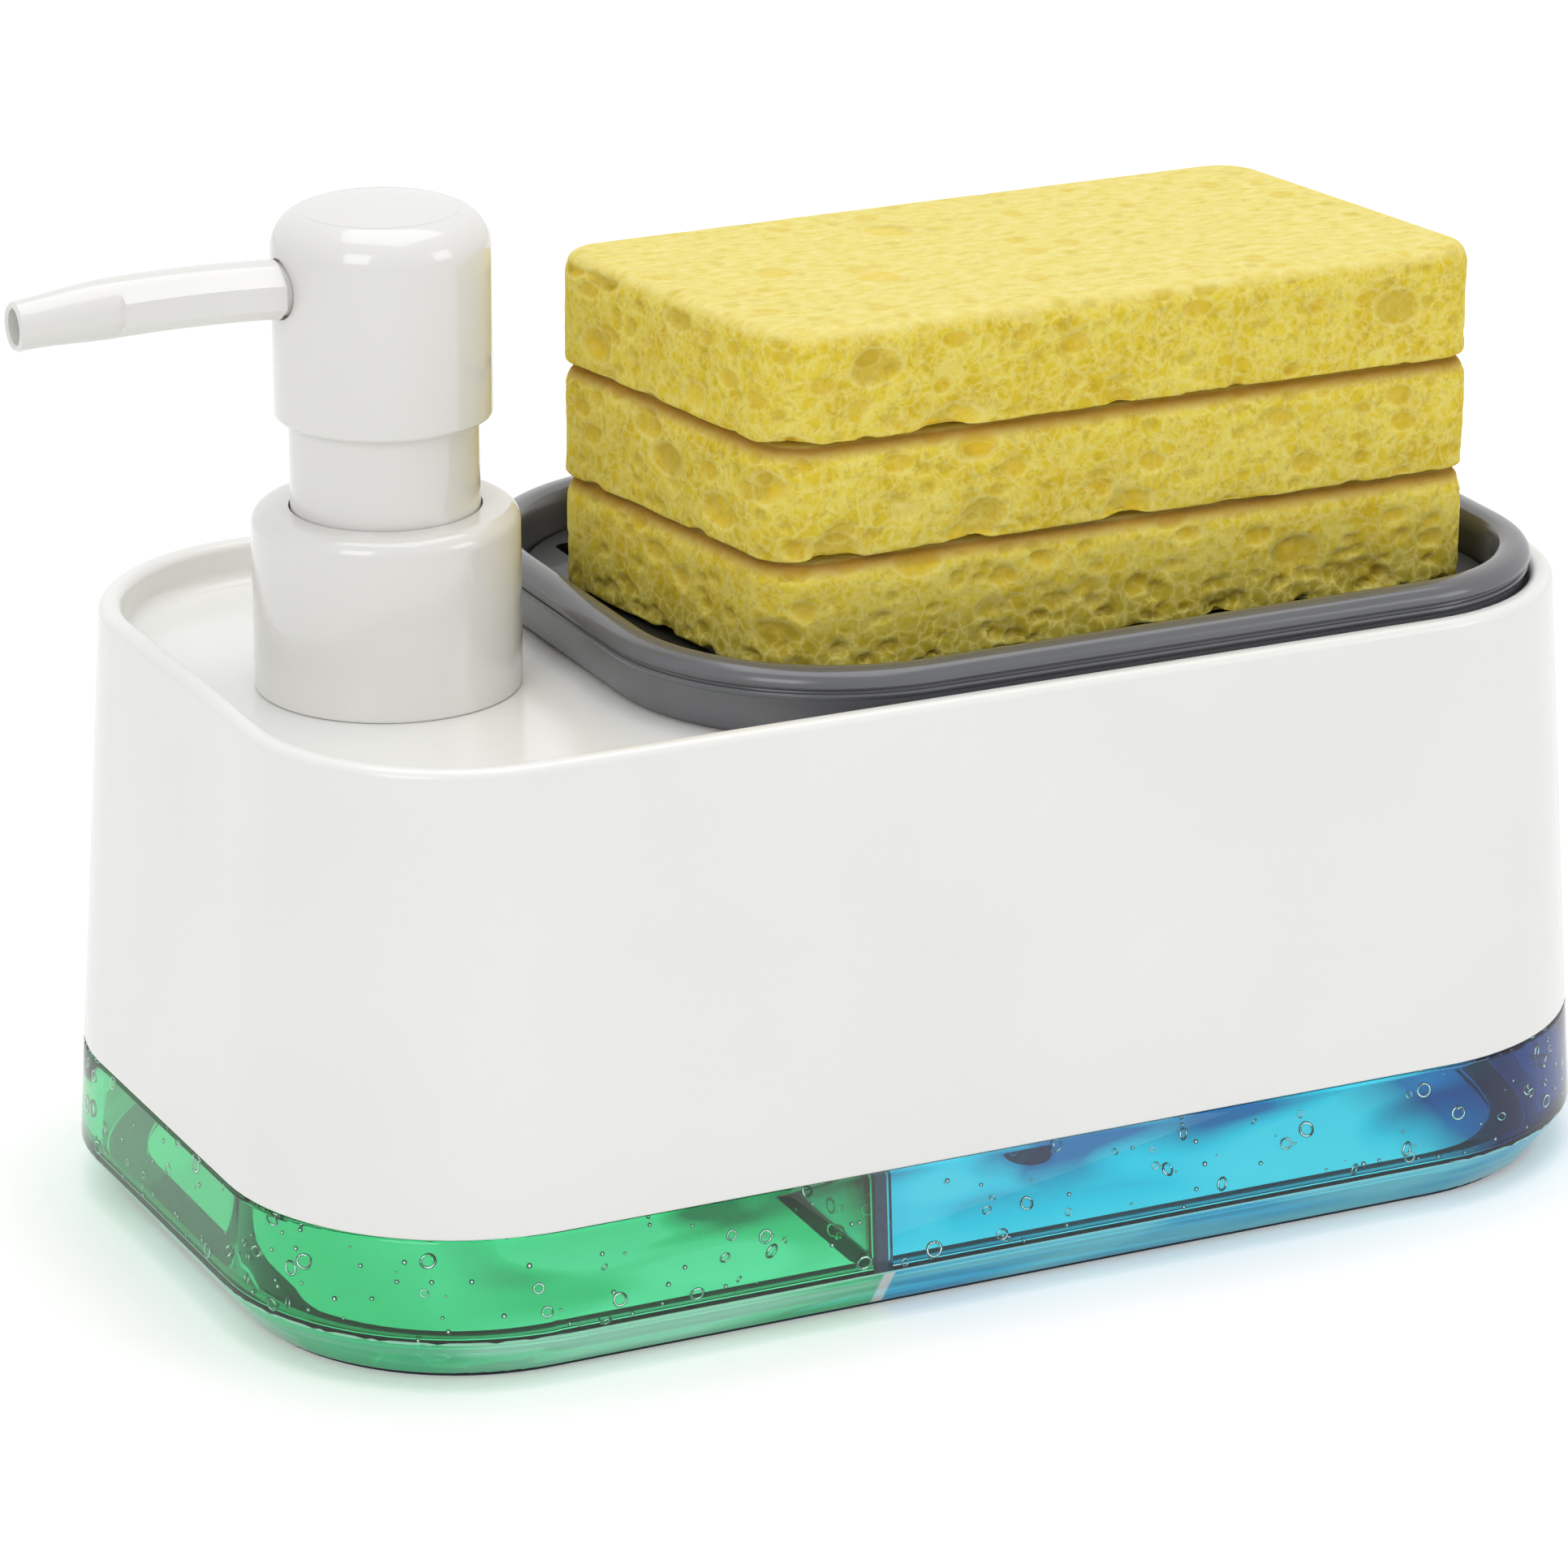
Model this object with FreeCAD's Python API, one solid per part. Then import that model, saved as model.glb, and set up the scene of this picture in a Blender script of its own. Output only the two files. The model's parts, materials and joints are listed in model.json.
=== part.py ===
import FreeCAD, Part
import math
import os

# Soap pump caddy: a clear two-cell soap tank under a white housing, with a press pump at one end
# and a lift-out sponge tray at the other.
# Lengths are in millimetres. X runs along the caddy, the spout points to -X and the front faces -Y.
# The origin is the middle of the foot ring's underside, on the surface that the caddy stands on.

# Fits shared by all pieces
FIT_GAP = 0.25  # between pieces that are put together once
SLIDE_GAP = 0.08  # radial, where one piece runs inside another
LOOSE_GAP = 0.6  # round what is lifted out by hand
LIQUID_GAP = 0.1  # film between the soap and what holds it
OVERRUN = 5.0  # how far a cutter passes the face that it opens
TOUCH = 0.001  # how near an edge lies to the height it is picked by

# Outside of the caddy, measured round the tank's ridge
RIDGE_DEPTH = 116.6
RIDGE_CORNER = 34.5
WALL_SLOPE_DEG = 3.6

# Foot ring under the tank
FOOT_PROUD = 0.8
FOOT_SUNK = 1.2
FOOT_WIDTH = 5.0
FOOT_INSET = 1.2

# Clear tank
TANK_HEIGHT = 20.2  # underside to seam
CHAMFER_HEIGHT = 6.0
CHAMFER_INSET = 4.3
TANK_WALL = 4.2
TANK_FLOOR = 4.2
FLOOR_ROUND = 3.0
TANK_EDGE_ROUND = 0.7
UPSTAND_HEIGHT = 4.0  # collar of the tank inside the housing
SNAP_LENGTH = 12.0
SNAP_HEIGHT = 0.9
SNAP_PROUD = 0.6
SNAP_DROP = 1.0  # lid underside to the top of a snap bead
SNAP_PLACE_SHARES = (-0.6, 0.1, 0.6)  # of the straight front wall's half-length

# Divider between the two cells, with the seal round its three wet edges
DIVIDER_PLACE_SHARE = -0.0966  # of the ridge's length, from the middle
DIVIDER_THICKNESS = 1.4
DIVIDER_EDGE_GAP = 0.5
SEAL_WIDTH = 2.4
SEAL_LIP = 2.0
GROOVE_DEPTH = 0.8

# Soap
SOAP_LEVEL = 1.4  # above the seam

# Tank lid with the riser that ends in the pump's threaded neck
GASKET_THICKNESS = 1.0
LID_THICKNESS = 2.4
SKIRT_DEPTH = 2.4
SKIRT_WALL = 1.6
NECK_RADIUS = 14.4
NECK_WALL = 1.9
THREAD_HEIGHT = 1.3
THREAD_PITCH = 3.2
THREAD_TURNS = 2.5
THREAD_ROOT = 2.0  # width of the thread where it leaves the neck
THREAD_CREST = 0.9
THREAD_SINK = 0.4
THREAD_START = 2.0  # below the neck's mouth

# Refill port and its stopper
PORT_DIVIDER_CLEAR = 33.5  # divider to the port's axis
PORT_FRONT_CLEAR = 26.3  # front ridge to the port's axis
PORT_RADIUS = 7.0
PORT_WALL = 2.0
PORT_HEIGHT = 3.0
STOPPER_CAP_RADIUS = 9.5
STOPPER_CAP_HEIGHT = 3.0
STOPPER_REACH = 6.0  # below the seam
TAIL_RADIUS = 3.2
TAIL_CLEAR = 2.5  # above the tank floor
TAB_WIDTH = 10.0
TAB_HEIGHT = 8.0
TAB_THICKNESS = 3.0
TAB_HOLE_RADIUS = 2.6

# Housing
HOUSING_HEIGHT = 63.0  # seam to rim
HOUSING_WALL = 2.2
RIM_WIDTH = 3.2
RIM_RISE = 5.8  # above the deck
RIM_ROUND = 1.4
DECK_THICKNESS = 2.4
DECK_ROUND = 2.5
SEAM_ROUND = 0.4

# Sponge tray
TRAY_RISE = 4.0  # tray rim above the housing rim
LIP_THICKNESS = 2.4
LIP_OVERHANG = 0.7
LIP_ROUND = 1.1
TRAY_PUMP_CORNER = 32.0  # corners of the wall at the pump's end
TRAY_WALL = 4.5
TRAY_FLOOR = 2.0
TRAY_FOOT_ROUND = 2.4
LEDGE_WIDTH = 7.0
BASIN_WALL = 1.8
BASIN_DEPTH = 12.0
BASIN_ROUND = 4.0

# Drain rack in the tray
RACK_THICKNESS = 1.8
RACK_SLOT_WIDTH = 4.0
RACK_SLOT_ROUND = 1.6
RACK_SLOT_PITCH = 9.0
RACK_END = 7.0  # plain strip at each end
RACK_EDGE = 8.5  # plain strip at the front and back
RACK_SPINE = 8.0  # plain strip along the middle

# Sponges
SPONGE_LENGTH = 108.0
SPONGE_SLANT = 8.6  # how far the back edge lies towards the pump
SPONGE_DEPTH = 56.0
SPONGE_THICKNESS = 15.8
SPONGE_CORNER = 7.0
SPONGE_ROUND = 3.2
SPONGE_LEFT_CLEAR = 3.2  # to the tray's wall
SPONGE_RIGHT_CLEAR = 4.3
SPONGE_FRONT_CLEAR = 11.1
SPONGE_GAP = 0.2

# Pump: collar and guide sleeve
PUMP_END_CLEAR = 9.8  # housing rim to the collar
PUMP_TRAY_GAP = 6.2  # collar to the tray's wall
PUMP_Y = 1.8
COLLAR_RADIUS = 18.0
COLLAR_HEIGHT = 25.0
COLLAR_ROOF = 2.2
COLLAR_ROUND = 2.4
COLLAR_FOOT_ROUND = 0.5
COLLAR_GAP = 0.1
SLEEVE_RADIUS = 12.7
SLEEVE_WALL = 1.5
SLEEVE_FLANGE_RADIUS = 15.4
SLEEVE_FLANGE = 1.6
SLEEVE_ROUND = 0.6

# Pump: chamber, cap and seal
NECK_GASKET_THICKNESS = 1.0
CHAMBER_FLANGE = 2.0
CHAMBER_BORE = 6.6
CHAMBER_WALL = 1.4
CHAMBER_DEPTH = 37.6  # flange top to the spring seat's ledge
CAP_FLANGE = 2.0
CAP_SPIGOT = 5.0
CAP_GUIDE_RADIUS = 6.4
CAP_GUIDE_RISE = 8.4
SPRING_SEAT_THICKNESS = 1.2
SPRING_SEAT_BORE = 1.9

# Pump: inlet valve and dip tube
BALL_RADIUS = 2.4
BALL_LIFT = 1.2
BALL_SIDE_GAP = 0.6
BALL_GAP = 0.1
THROAT_RADIUS = 1.6
THROAT_LENGTH = 1.2
INLET_WALL = 1.5
SOCKET_DEPTH = 8.0
TUBE_RADIUS = 3.0
TUBE_WALL = 0.9
TUBE_CLEAR = 3.0  # above the tank floor
TUBE_CUT_DEG = 40.0

# Pump: moving parts
STROKE = 11.0
PRESS_CLEAR = 1.6  # skirt to collar at full press
PISTON_HEIGHT = 8.0
PISTON_WAIST = 1.2
PISTON_LIP = 2.0
STEM_RADIUS = 4.0
STEM_BORE = 2.2
STEM_FOOT_RADIUS = 5.4
STEM_FOOT = 2.2
STEM_PORT_RADIUS = 1.1
STEM_PORT_RISE = 2.0
SPRING_RADIUS = 4.5
SPRING_WIRE_RADIUS = 0.5
SPRING_TURNS = 6
SPRING_END_GAP = 0.2

# Pump: head and spout
HEAD_RADIUS = 14.6
HEAD_HEIGHT = 28.8
HEAD_BORE_GAP = 0.3
HEAD_ROOF = 2.2
HEAD_CROWN = 1.6
HEAD_CROWN_FLAT = 6.0
HEAD_CROWN_ROUND = 50.0
HEAD_DOME_ROUND = 5.5
HEAD_INNER_ROUND = 3.5
HEAD_FOOT_ROUND = 0.6
BOSS_RADIUS = 6.6
BOSS_RISE = 8.0  # skirt to the boss's mouth
STEM_SOCKET = 7.4
SPOUT_RISE = 18.6  # skirt to the spout's axis
SPOUT_REACH = 51.4  # pump axis to the mouth
SPOUT_SOCKET = 8.0
SPOUT_SOCKET_WALL = 1.2
SPOUT_ROOT_RADIUS = 4.0
SPOUT_MIDDLE_RADIUS = 3.95
SPOUT_TIP_RADIUS = 3.3
SPOUT_MIDDLE_LIFT = 0.5
SPOUT_TIP_DROP = 0.6
SPOUT_BORE = 2.4
SPOUT_MIDDLE_SHARE = 0.55  # of the free length
SPOUT_RIB_PROUD = 0.5
SPOUT_RIB_TOP = 1.6
SPOUT_RIB_DROP = 2.4
SPOUT_RIB_SHARE = 0.62  # of the free length

# Heights worked out from the sizes above
WALL_SLOPE = math.tan(math.radians(WALL_SLOPE_DEG))
SHOULDER = HOUSING_WALL + FIT_GAP
TANK_Z = FOOT_PROUD
FLOOR_Z = TANK_Z + TANK_FLOOR
RIDGE_Z = TANK_Z + CHAMFER_HEIGHT
SEAM_Z = TANK_Z + TANK_HEIGHT
SOAP_Z = SEAM_Z + SOAP_LEVEL
UPSTAND_Z = SEAM_Z + UPSTAND_HEIGHT
LID_Z = UPSTAND_Z + GASKET_THICKNESS
LID_TOP_Z = LID_Z + LID_THICKNESS
PORT_TOP_Z = LID_TOP_Z + PORT_HEIGHT
STOPPER_LOW_Z = SEAM_Z - STOPPER_REACH
RIM_Z = SEAM_Z + HOUSING_HEIGHT
DECK_Z = RIM_Z - RIM_RISE
TRAY_Z = RIM_Z + TRAY_RISE
LEDGE_Z = DECK_Z + TRAY_FLOOR
BASIN_Z = DECK_Z - BASIN_DEPTH
RACK_Z = LEDGE_Z + RACK_THICKNESS
COLLAR_Z = DECK_Z + COLLAR_HEIGHT
SLEEVE_FLANGE_Z = COLLAR_Z - COLLAR_ROOF - COLLAR_GAP
CAP_Z = SLEEVE_FLANGE_Z - SLEEVE_FLANGE
CHAMBER_Z = CAP_Z - CAP_FLANGE
NECK_GASKET_Z = CHAMBER_Z - CHAMBER_FLANGE
NECK_Z = NECK_GASKET_Z - NECK_GASKET_THICKNESS
SEAT_Z = CHAMBER_Z - CHAMBER_DEPTH
PISTON_Z = CHAMBER_Z - CAP_SPIGOT - LOOSE_GAP
STEM_FOOT_Z = PISTON_Z - PISTON_HEIGHT - FIT_GAP
SKIRT_Z = COLLAR_Z + STROKE + PRESS_CLEAR
HEAD_Z = SKIRT_Z + HEAD_HEIGHT
BOSS_Z = SKIRT_Z + BOSS_RISE
SPOUT_Z = SKIRT_Z + SPOUT_RISE

# Lengths and places along the caddy, from what stands in the housing's recess
RIM_PULL = RIM_WIDTH + (RIM_Z - RIDGE_Z) * WALL_SLOPE
TRAY_PULL = RIM_PULL + LOOSE_GAP
SPONGE_SPAN = SPONGE_LENGTH + SPONGE_SLANT
TRAY_LENGTH = 2 * TRAY_WALL + SPONGE_LEFT_CLEAR + SPONGE_SPAN + SPONGE_RIGHT_CLEAR
RECESS_LENGTH = PUMP_END_CLEAR + 2 * COLLAR_RADIUS + PUMP_TRAY_GAP + TRAY_LENGTH + LOOSE_GAP
RIDGE_LENGTH = RECESS_LENGTH + 2 * RIM_PULL
PUMP_X = PUMP_END_CLEAR + COLLAR_RADIUS - RECESS_LENGTH / 2
TRAY_LEFT = PUMP_X + COLLAR_RADIUS + PUMP_TRAY_GAP
SPONGE_LEFT = TRAY_LEFT + TRAY_WALL + SPONGE_LEFT_CLEAR
SPONGE_FRONT = TRAY_PULL + TRAY_WALL + SPONGE_FRONT_CLEAR - RIDGE_DEPTH / 2
DIVIDER_X = DIVIDER_PLACE_SHARE * RIDGE_LENGTH
PORT_X = DIVIDER_X + PORT_DIVIDER_CLEAR
PORT_Y = PORT_FRONT_CLEAR - RIDGE_DEPTH / 2

# Inlet valve: the ball rests on a 45 degree cone and rises to the spring seat
BALL_Z = SEAT_Z - BALL_GAP - BALL_LIFT - BALL_RADIUS
CONE_Z = BALL_Z - (BALL_RADIUS + BALL_GAP) * math.sqrt(2) + THROAT_RADIUS
BALL_POCKET = BALL_RADIUS + BALL_SIDE_GAP
TUBE_TOP_Z = CONE_Z - THROAT_LENGTH
TUBE_LOW_Z = FLOOR_Z + TUBE_CLEAR

# Radii that a mating piece sets
THREAD_RADIUS = NECK_RADIUS + THREAD_HEIGHT
COLLAR_BORE = THREAD_RADIUS + FIT_GAP
CHAMBER_RADIUS = CHAMBER_BORE + CHAMBER_WALL
PISTON_RADIUS = CHAMBER_BORE - SLIDE_GAP
HEAD_BORE = SLEEVE_RADIUS + HEAD_BORE_GAP
SPOUT_SOCKET_RADIUS = SPOUT_ROOT_RADIUS + SPOUT_SOCKET_WALL

# The sleeve ends below the spout's socket at full press
SLEEVE_Z = SPOUT_Z - SPOUT_SOCKET_RADIUS - STROKE - LOOSE_GAP

UP = FreeCAD.Vector(0, 0, 1)


def at(x, y, z):
    return FreeCAD.Vector(x, y, z)


def rounded_wire(left, right, half_depth, left_corner, right_corner, z):
    """A level rectangle with round corners, even about the XZ plane."""
    corners = (
        (right - right_corner, 1, right_corner, 0),
        (left + left_corner, 1, left_corner, 90),
        (left + left_corner, -1, left_corner, 180),
        (right - right_corner, -1, right_corner, 270),
    )
    arcs = []
    for x, side, radius, start in corners:
        y = side * (half_depth - radius)
        turns = [math.radians(start + turn) for turn in (0, 45, 90)]
        arcs.append(Part.Arc(*[at(x + radius * math.cos(t), y + radius * math.sin(t), z) for t in turns]))
    edges = []
    for arc, following in zip(arcs, arcs[1:] + arcs[:1]):
        edges.append(arc.toShape())
        edges.append(Part.LineSegment(arc.EndPoint, following.StartPoint).toShape())
    return Part.Wire(edges)


def shell_pull(z, inset):
    """How far the caddy's sloping outside, moved in by inset, lies inside the ridge at height z."""
    return inset + (z - RIDGE_Z) * WALL_SLOPE


def shell_half_depth(z, inset):
    return RIDGE_DEPTH / 2 - shell_pull(z, inset)


def pulled_wire(pull, z):
    """The ridge's outline moved in by pull, at height z."""
    half_length = RIDGE_LENGTH / 2 - pull
    corner = RIDGE_CORNER - pull
    return rounded_wire(-half_length, half_length, RIDGE_DEPTH / 2 - pull, corner, corner, z)


def tray_wire(inset, z):
    """The tray's wall, set by the housing's rim on three sides, moved in by inset."""
    pull = TRAY_PULL + inset
    left, right = TRAY_LEFT + inset, RIDGE_LENGTH / 2 - pull
    corners = TRAY_PUMP_CORNER - inset, RIDGE_CORNER - pull
    return rounded_wire(left, right, RIDGE_DEPTH / 2 - pull, *corners, z)


def raised(wire, height):
    return Part.Face(wire).extrude(UP * height)


def upright_block(pull, low, high):
    return raised(pulled_wire(pull, low), high - low)


def tray_block(inset, low, high):
    return raised(tray_wire(inset, low), high - low)


def shell_block(low, high, inset):
    """A block between two heights whose sides follow the caddy's slope."""
    wires = [pulled_wire(shell_pull(z, inset), z) for z in (low, high)]
    return Part.makeLoft(wires, True, True)


def edges_at(shape, z):
    """The level edges at a height."""
    ends = [(edge, edge.BoundBox.ZMin, edge.BoundBox.ZMax) for edge in shape.Edges]
    return [edge for edge, low, high in ends if abs(low - z) < TOUCH and abs(high - z) < TOUCH]


def eased(shape, radius, *heights):
    """The shape with its level edges at these heights rounded."""
    edges = [edge for z in heights for edge in edges_at(shape, z)]
    return shape.makeFillet(radius, edges)


def centred_box(x, y, z, length, depth, height):
    """A box centred on x and y that stands on z."""
    return Part.makeBox(length, depth, height, at(x - length / 2, y - depth / 2, z))


def rod(radius, low, high):
    """An upright rod on the Z axis."""
    return Part.makeCylinder(radius, high - low, at(0, 0, low))


def at_pump(piece):
    """A piece made on the Z axis, moved to the pump's axis."""
    return piece.translated(at(PUMP_X, PUMP_Y, 0))


def at_port(piece):
    """A piece made on the Z axis, moved to the refill port's axis."""
    return piece.translated(at(PORT_X, PORT_Y, 0))


def turned(*corners):
    """A solid turned about the Z axis from (radius, height, easing) corners."""
    points = [at(radius, 0, z) for radius, z, _ in corners]
    ends = []
    arcs = []
    for index, (_, _, easing) in enumerate(corners):
        corner = points[index]
        if not easing:
            ends.append((corner, corner))
            continue
        before = (points[index - 1] - corner).normalize()
        after = (points[(index + 1) % len(points)] - corner).normalize()
        half_angle = before.getAngle(after) / 2
        reach = easing / math.tan(half_angle)
        inward = (before + after).normalize() * (easing / math.sin(half_angle) - easing)
        ends.append((corner + before * reach, corner + after * reach))
        arcs.append(Part.Arc(ends[-1][0], corner + inward, ends[-1][1]).toShape())
    lines = [Part.LineSegment(ends[i - 1][1], ends[i][0]).toShape() for i in range(len(ends))]
    wire = Part.Wire(Part.__sortEdges__(lines + arcs))
    return Part.Face(wire).revolve(at(0, 0, 0), UP, 360)


def ring(outer, inner, low, high):
    return turned((inner, low, 0), (outer, low, 0), (outer, high, 0), (inner, high, 0))


def wound(profile, pitch, height, radius, low):
    """A profile swept up a helix on the Z axis."""
    helix = Part.makeHelix(pitch, height, radius)
    helix.translate(at(0, 0, low))
    return Part.Wire(helix).makePipeShell([profile], True, True)


def make_foot_ring():
    top = FOOT_PROUD + FOOT_SUNK
    outer_pull = CHAMFER_INSET + FOOT_INSET
    return upright_block(outer_pull, 0, top).cut(upright_block(outer_pull + FOOT_WIDTH, 0, top))


def foot_groove():
    top = FOOT_PROUD + FOOT_SUNK
    outer_pull = CHAMFER_INSET + FOOT_INSET - FIT_GAP
    inner_pull = CHAMFER_INSET + FOOT_INSET + FOOT_WIDTH + FIT_GAP
    return upright_block(outer_pull, -OVERRUN, top).cut(upright_block(inner_pull, -OVERRUN, top))


def tank_cavity(gap, top):
    """The tank's hollow up to a height, shrunk by gap."""
    block = shell_block(FLOOR_Z + gap, top, TANK_WALL + gap)
    return eased(block, FLOOR_ROUND - gap, FLOOR_Z + gap)


def snap_beads(gap):
    """The beads of the lid's skirt along the front and back walls, grown by gap."""
    skirt_y = shell_half_depth(UPSTAND_Z, TANK_WALL + FIT_GAP)
    straight = RIDGE_LENGTH / 2 - RIDGE_CORNER
    low = LID_Z - SNAP_DROP - SNAP_HEIGHT - gap
    depth = SKIRT_WALL + SNAP_PROUD + gap
    beads = []
    for share in SNAP_PLACE_SHARES:
        for side in (-1, 1):
            y = side * (skirt_y - SKIRT_WALL + depth / 2)
            length = SNAP_LENGTH + 2 * gap
            beads.append(centred_box(share * straight, y, low, length, depth, SNAP_HEIGHT + 2 * gap))
    return beads


def divider_panel(inset, low, high, thickness):
    """A plate across the tank whose ends follow the sloping walls."""
    corners = ((-1, low), (1, low), (1, high), (-1, high))
    x = DIVIDER_X - thickness / 2
    points = [at(x, side * shell_half_depth(z, inset), z) for side, z in corners]
    return Part.Face(Part.makePolygon(points + points[:1])).extrude(at(thickness, 0, 0))


def make_tank_tub():
    chamfer = Part.makeLoft([pulled_wire(CHAMFER_INSET, TANK_Z), pulled_wire(0, RIDGE_Z)], True, True)
    tub = chamfer.fuse(shell_block(RIDGE_Z, SEAM_Z, 0)).removeSplitter()
    tub = eased(tub, TANK_EDGE_ROUND, TANK_Z, RIDGE_Z, SEAM_Z)
    tub = tub.fuse(shell_block(FLOOR_Z, UPSTAND_Z, SHOULDER))
    tub = tub.cut(tank_cavity(0, UPSTAND_Z + OVERRUN)).cut(foot_groove())
    groove_width = SEAL_WIDTH + 2 * FIT_GAP
    groove_low = FLOOR_Z - GROOVE_DEPTH
    groove = divider_panel(TANK_WALL - GROOVE_DEPTH, groove_low, UPSTAND_Z + OVERRUN, groove_width)
    return tub.cut([groove] + snap_beads(FIT_GAP))


def make_cell_divider():
    low = FLOOR_Z + DIVIDER_EDGE_GAP
    return divider_panel(TANK_WALL + DIVIDER_EDGE_GAP, low, LID_Z - FIT_GAP, DIVIDER_THICKNESS)


def seal_frame(gap, top):
    """The seal's U round the divider's wet edges, grown by gap."""
    reach = GROOVE_DEPTH - LIQUID_GAP + gap
    lip = SEAL_LIP + gap
    width = SEAL_WIDTH + 2 * gap
    outer = divider_panel(TANK_WALL - reach, FLOOR_Z - reach, top, width)
    return outer.cut(divider_panel(TANK_WALL + lip, FLOOR_Z + lip, top + OVERRUN, width))


def make_divider_seal():
    return seal_frame(0, UPSTAND_Z - FIT_GAP).cut(make_cell_divider())


def soap_cell(side):
    """The soap on one side of the divider: -1 is the pump's cell, 1 the spare cell."""
    start = DIVIDER_X + side * (DIVIDER_THICKNESS / 2 + LIQUID_GAP)
    half = centred_box(start + side * RIDGE_LENGTH / 2, 0, 0, RIDGE_LENGTH, RIDGE_DEPTH, RIM_Z)
    cell = tank_cavity(LIQUID_GAP, SOAP_Z).common(half)
    return cell.cut(seal_frame(LIQUID_GAP, SOAP_Z + OVERRUN))


def make_soap_pump_cell():
    tube = rod(TUBE_RADIUS + LOOSE_GAP, TUBE_LOW_Z - LOOSE_GAP, SOAP_Z + OVERRUN)
    return soap_cell(-1).cut(at_pump(tube))


def make_soap_spare_cell():
    top = SOAP_Z + OVERRUN
    tail = rod(TAIL_RADIUS + LOOSE_GAP, FLOOR_Z + TAIL_CLEAR - LOOSE_GAP, top)
    body = rod(PORT_RADIUS + LOOSE_GAP, STOPPER_LOW_Z - LOOSE_GAP, top)
    return soap_cell(1).cut([at_port(tail), at_port(body)])


def make_lid_gasket():
    outer = upright_block(shell_pull(UPSTAND_Z, SHOULDER + FIT_GAP), UPSTAND_Z, LID_Z)
    return outer.cut(upright_block(shell_pull(UPSTAND_Z, TANK_WALL), UPSTAND_Z, LID_Z))


def neck_thread():
    """The neck's thread: one rib wound round it below the mouth."""
    height = THREAD_PITCH * THREAD_TURNS
    low = NECK_Z - THREAD_START - height
    foot = NECK_RADIUS - THREAD_SINK
    points = [
        at(foot, 0, low - THREAD_ROOT / 2),
        at(THREAD_RADIUS, 0, low - THREAD_CREST / 2),
        at(THREAD_RADIUS, 0, low + THREAD_CREST / 2),
        at(foot, 0, low + THREAD_ROOT / 2),
    ]
    return wound(Part.makePolygon(points + points[:1]), THREAD_PITCH, height, NECK_RADIUS, low)


def make_tank_lid():
    """A plate with a skirt inside the tank, the refill port and the riser to the pump's neck."""
    lid = upright_block(shell_pull(LID_TOP_Z, HOUSING_WALL + FIT_GAP), LID_Z, LID_TOP_Z)
    skirt_pull = shell_pull(UPSTAND_Z, TANK_WALL + FIT_GAP)
    skirt_z = LID_Z - SKIRT_DEPTH
    skirt = upright_block(skirt_pull, skirt_z, LID_Z)
    skirt = skirt.cut(upright_block(skirt_pull + SKIRT_WALL, skirt_z, LID_Z))
    skirt = skirt.cut(centred_box(DIVIDER_X, 0, 0, SEAL_WIDTH + 2 * FIT_GAP, RIDGE_DEPTH, LID_Z))
    riser = at_pump(rod(NECK_RADIUS, LID_Z, NECK_Z).fuse(neck_thread()))
    port = at_port(rod(PORT_RADIUS + PORT_WALL, LID_Z, PORT_TOP_Z))
    lid = lid.fuse([skirt, riser, port] + snap_beads(0)).removeSplitter()
    neck_bore = at_pump(rod(NECK_RADIUS - NECK_WALL, LID_Z - OVERRUN, NECK_Z + OVERRUN))
    port_bore = at_port(rod(PORT_RADIUS, LID_Z - OVERRUN, PORT_TOP_Z + OVERRUN))
    return lid.cut([neck_bore, port_bore])


def make_refill_stopper():
    """A soft stopper with a pull tab above the port and a tail down into the spare cell."""
    body_radius = PORT_RADIUS - FIT_GAP
    cap_z = PORT_TOP_Z + STOPPER_CAP_HEIGHT
    stopper = turned(
        (0, FLOOR_Z + TAIL_CLEAR, 0),
        (TAIL_RADIUS, FLOOR_Z + TAIL_CLEAR, 0),
        (TAIL_RADIUS, STOPPER_LOW_Z, 0),
        (body_radius, STOPPER_LOW_Z, 0),
        (body_radius, PORT_TOP_Z, 0),
        (STOPPER_CAP_RADIUS, PORT_TOP_Z, 0),
        (STOPPER_CAP_RADIUS, cap_z, STOPPER_CAP_HEIGHT / 2),
        (0, cap_z, 0),
    )
    tab = centred_box(0, 0, cap_z - FIT_GAP, TAB_WIDTH, TAB_THICKNESS, TAB_HEIGHT + FIT_GAP)
    hole_start = at(0, -TAB_THICKNESS, cap_z + TAB_HEIGHT / 2)
    hole = Part.makeCylinder(TAB_HOLE_RADIUS, 2 * TAB_THICKNESS, hole_start, at(0, 1, 0))
    return stopper.fuse(tab.cut(hole)).removeSplitter()


def make_housing():
    """A tapered shell, open below, with a sunk deck that has the neck's hole and the tray's opening."""
    under = DECK_Z - DECK_THICKNESS
    shell = eased(shell_block(SEAM_Z, RIM_Z, 0), SEAM_ROUND, SEAM_Z)
    shell = shell.cut(shell_block(SEAM_Z - OVERRUN, under, HOUSING_WALL))
    shell = shell.cut(upright_block(RIM_PULL, DECK_Z, RIM_Z + OVERRUN))
    shell = eased(eased(shell, RIM_ROUND, RIM_Z), DECK_ROUND, DECK_Z)
    neck_hole = at_pump(rod(THREAD_RADIUS + FIT_GAP, under - OVERRUN, DECK_Z + OVERRUN))
    opening = tray_block(LEDGE_WIDTH - LOOSE_GAP, under - OVERRUN, DECK_Z + OVERRUN)
    return shell.cut([neck_hole, opening])


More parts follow.
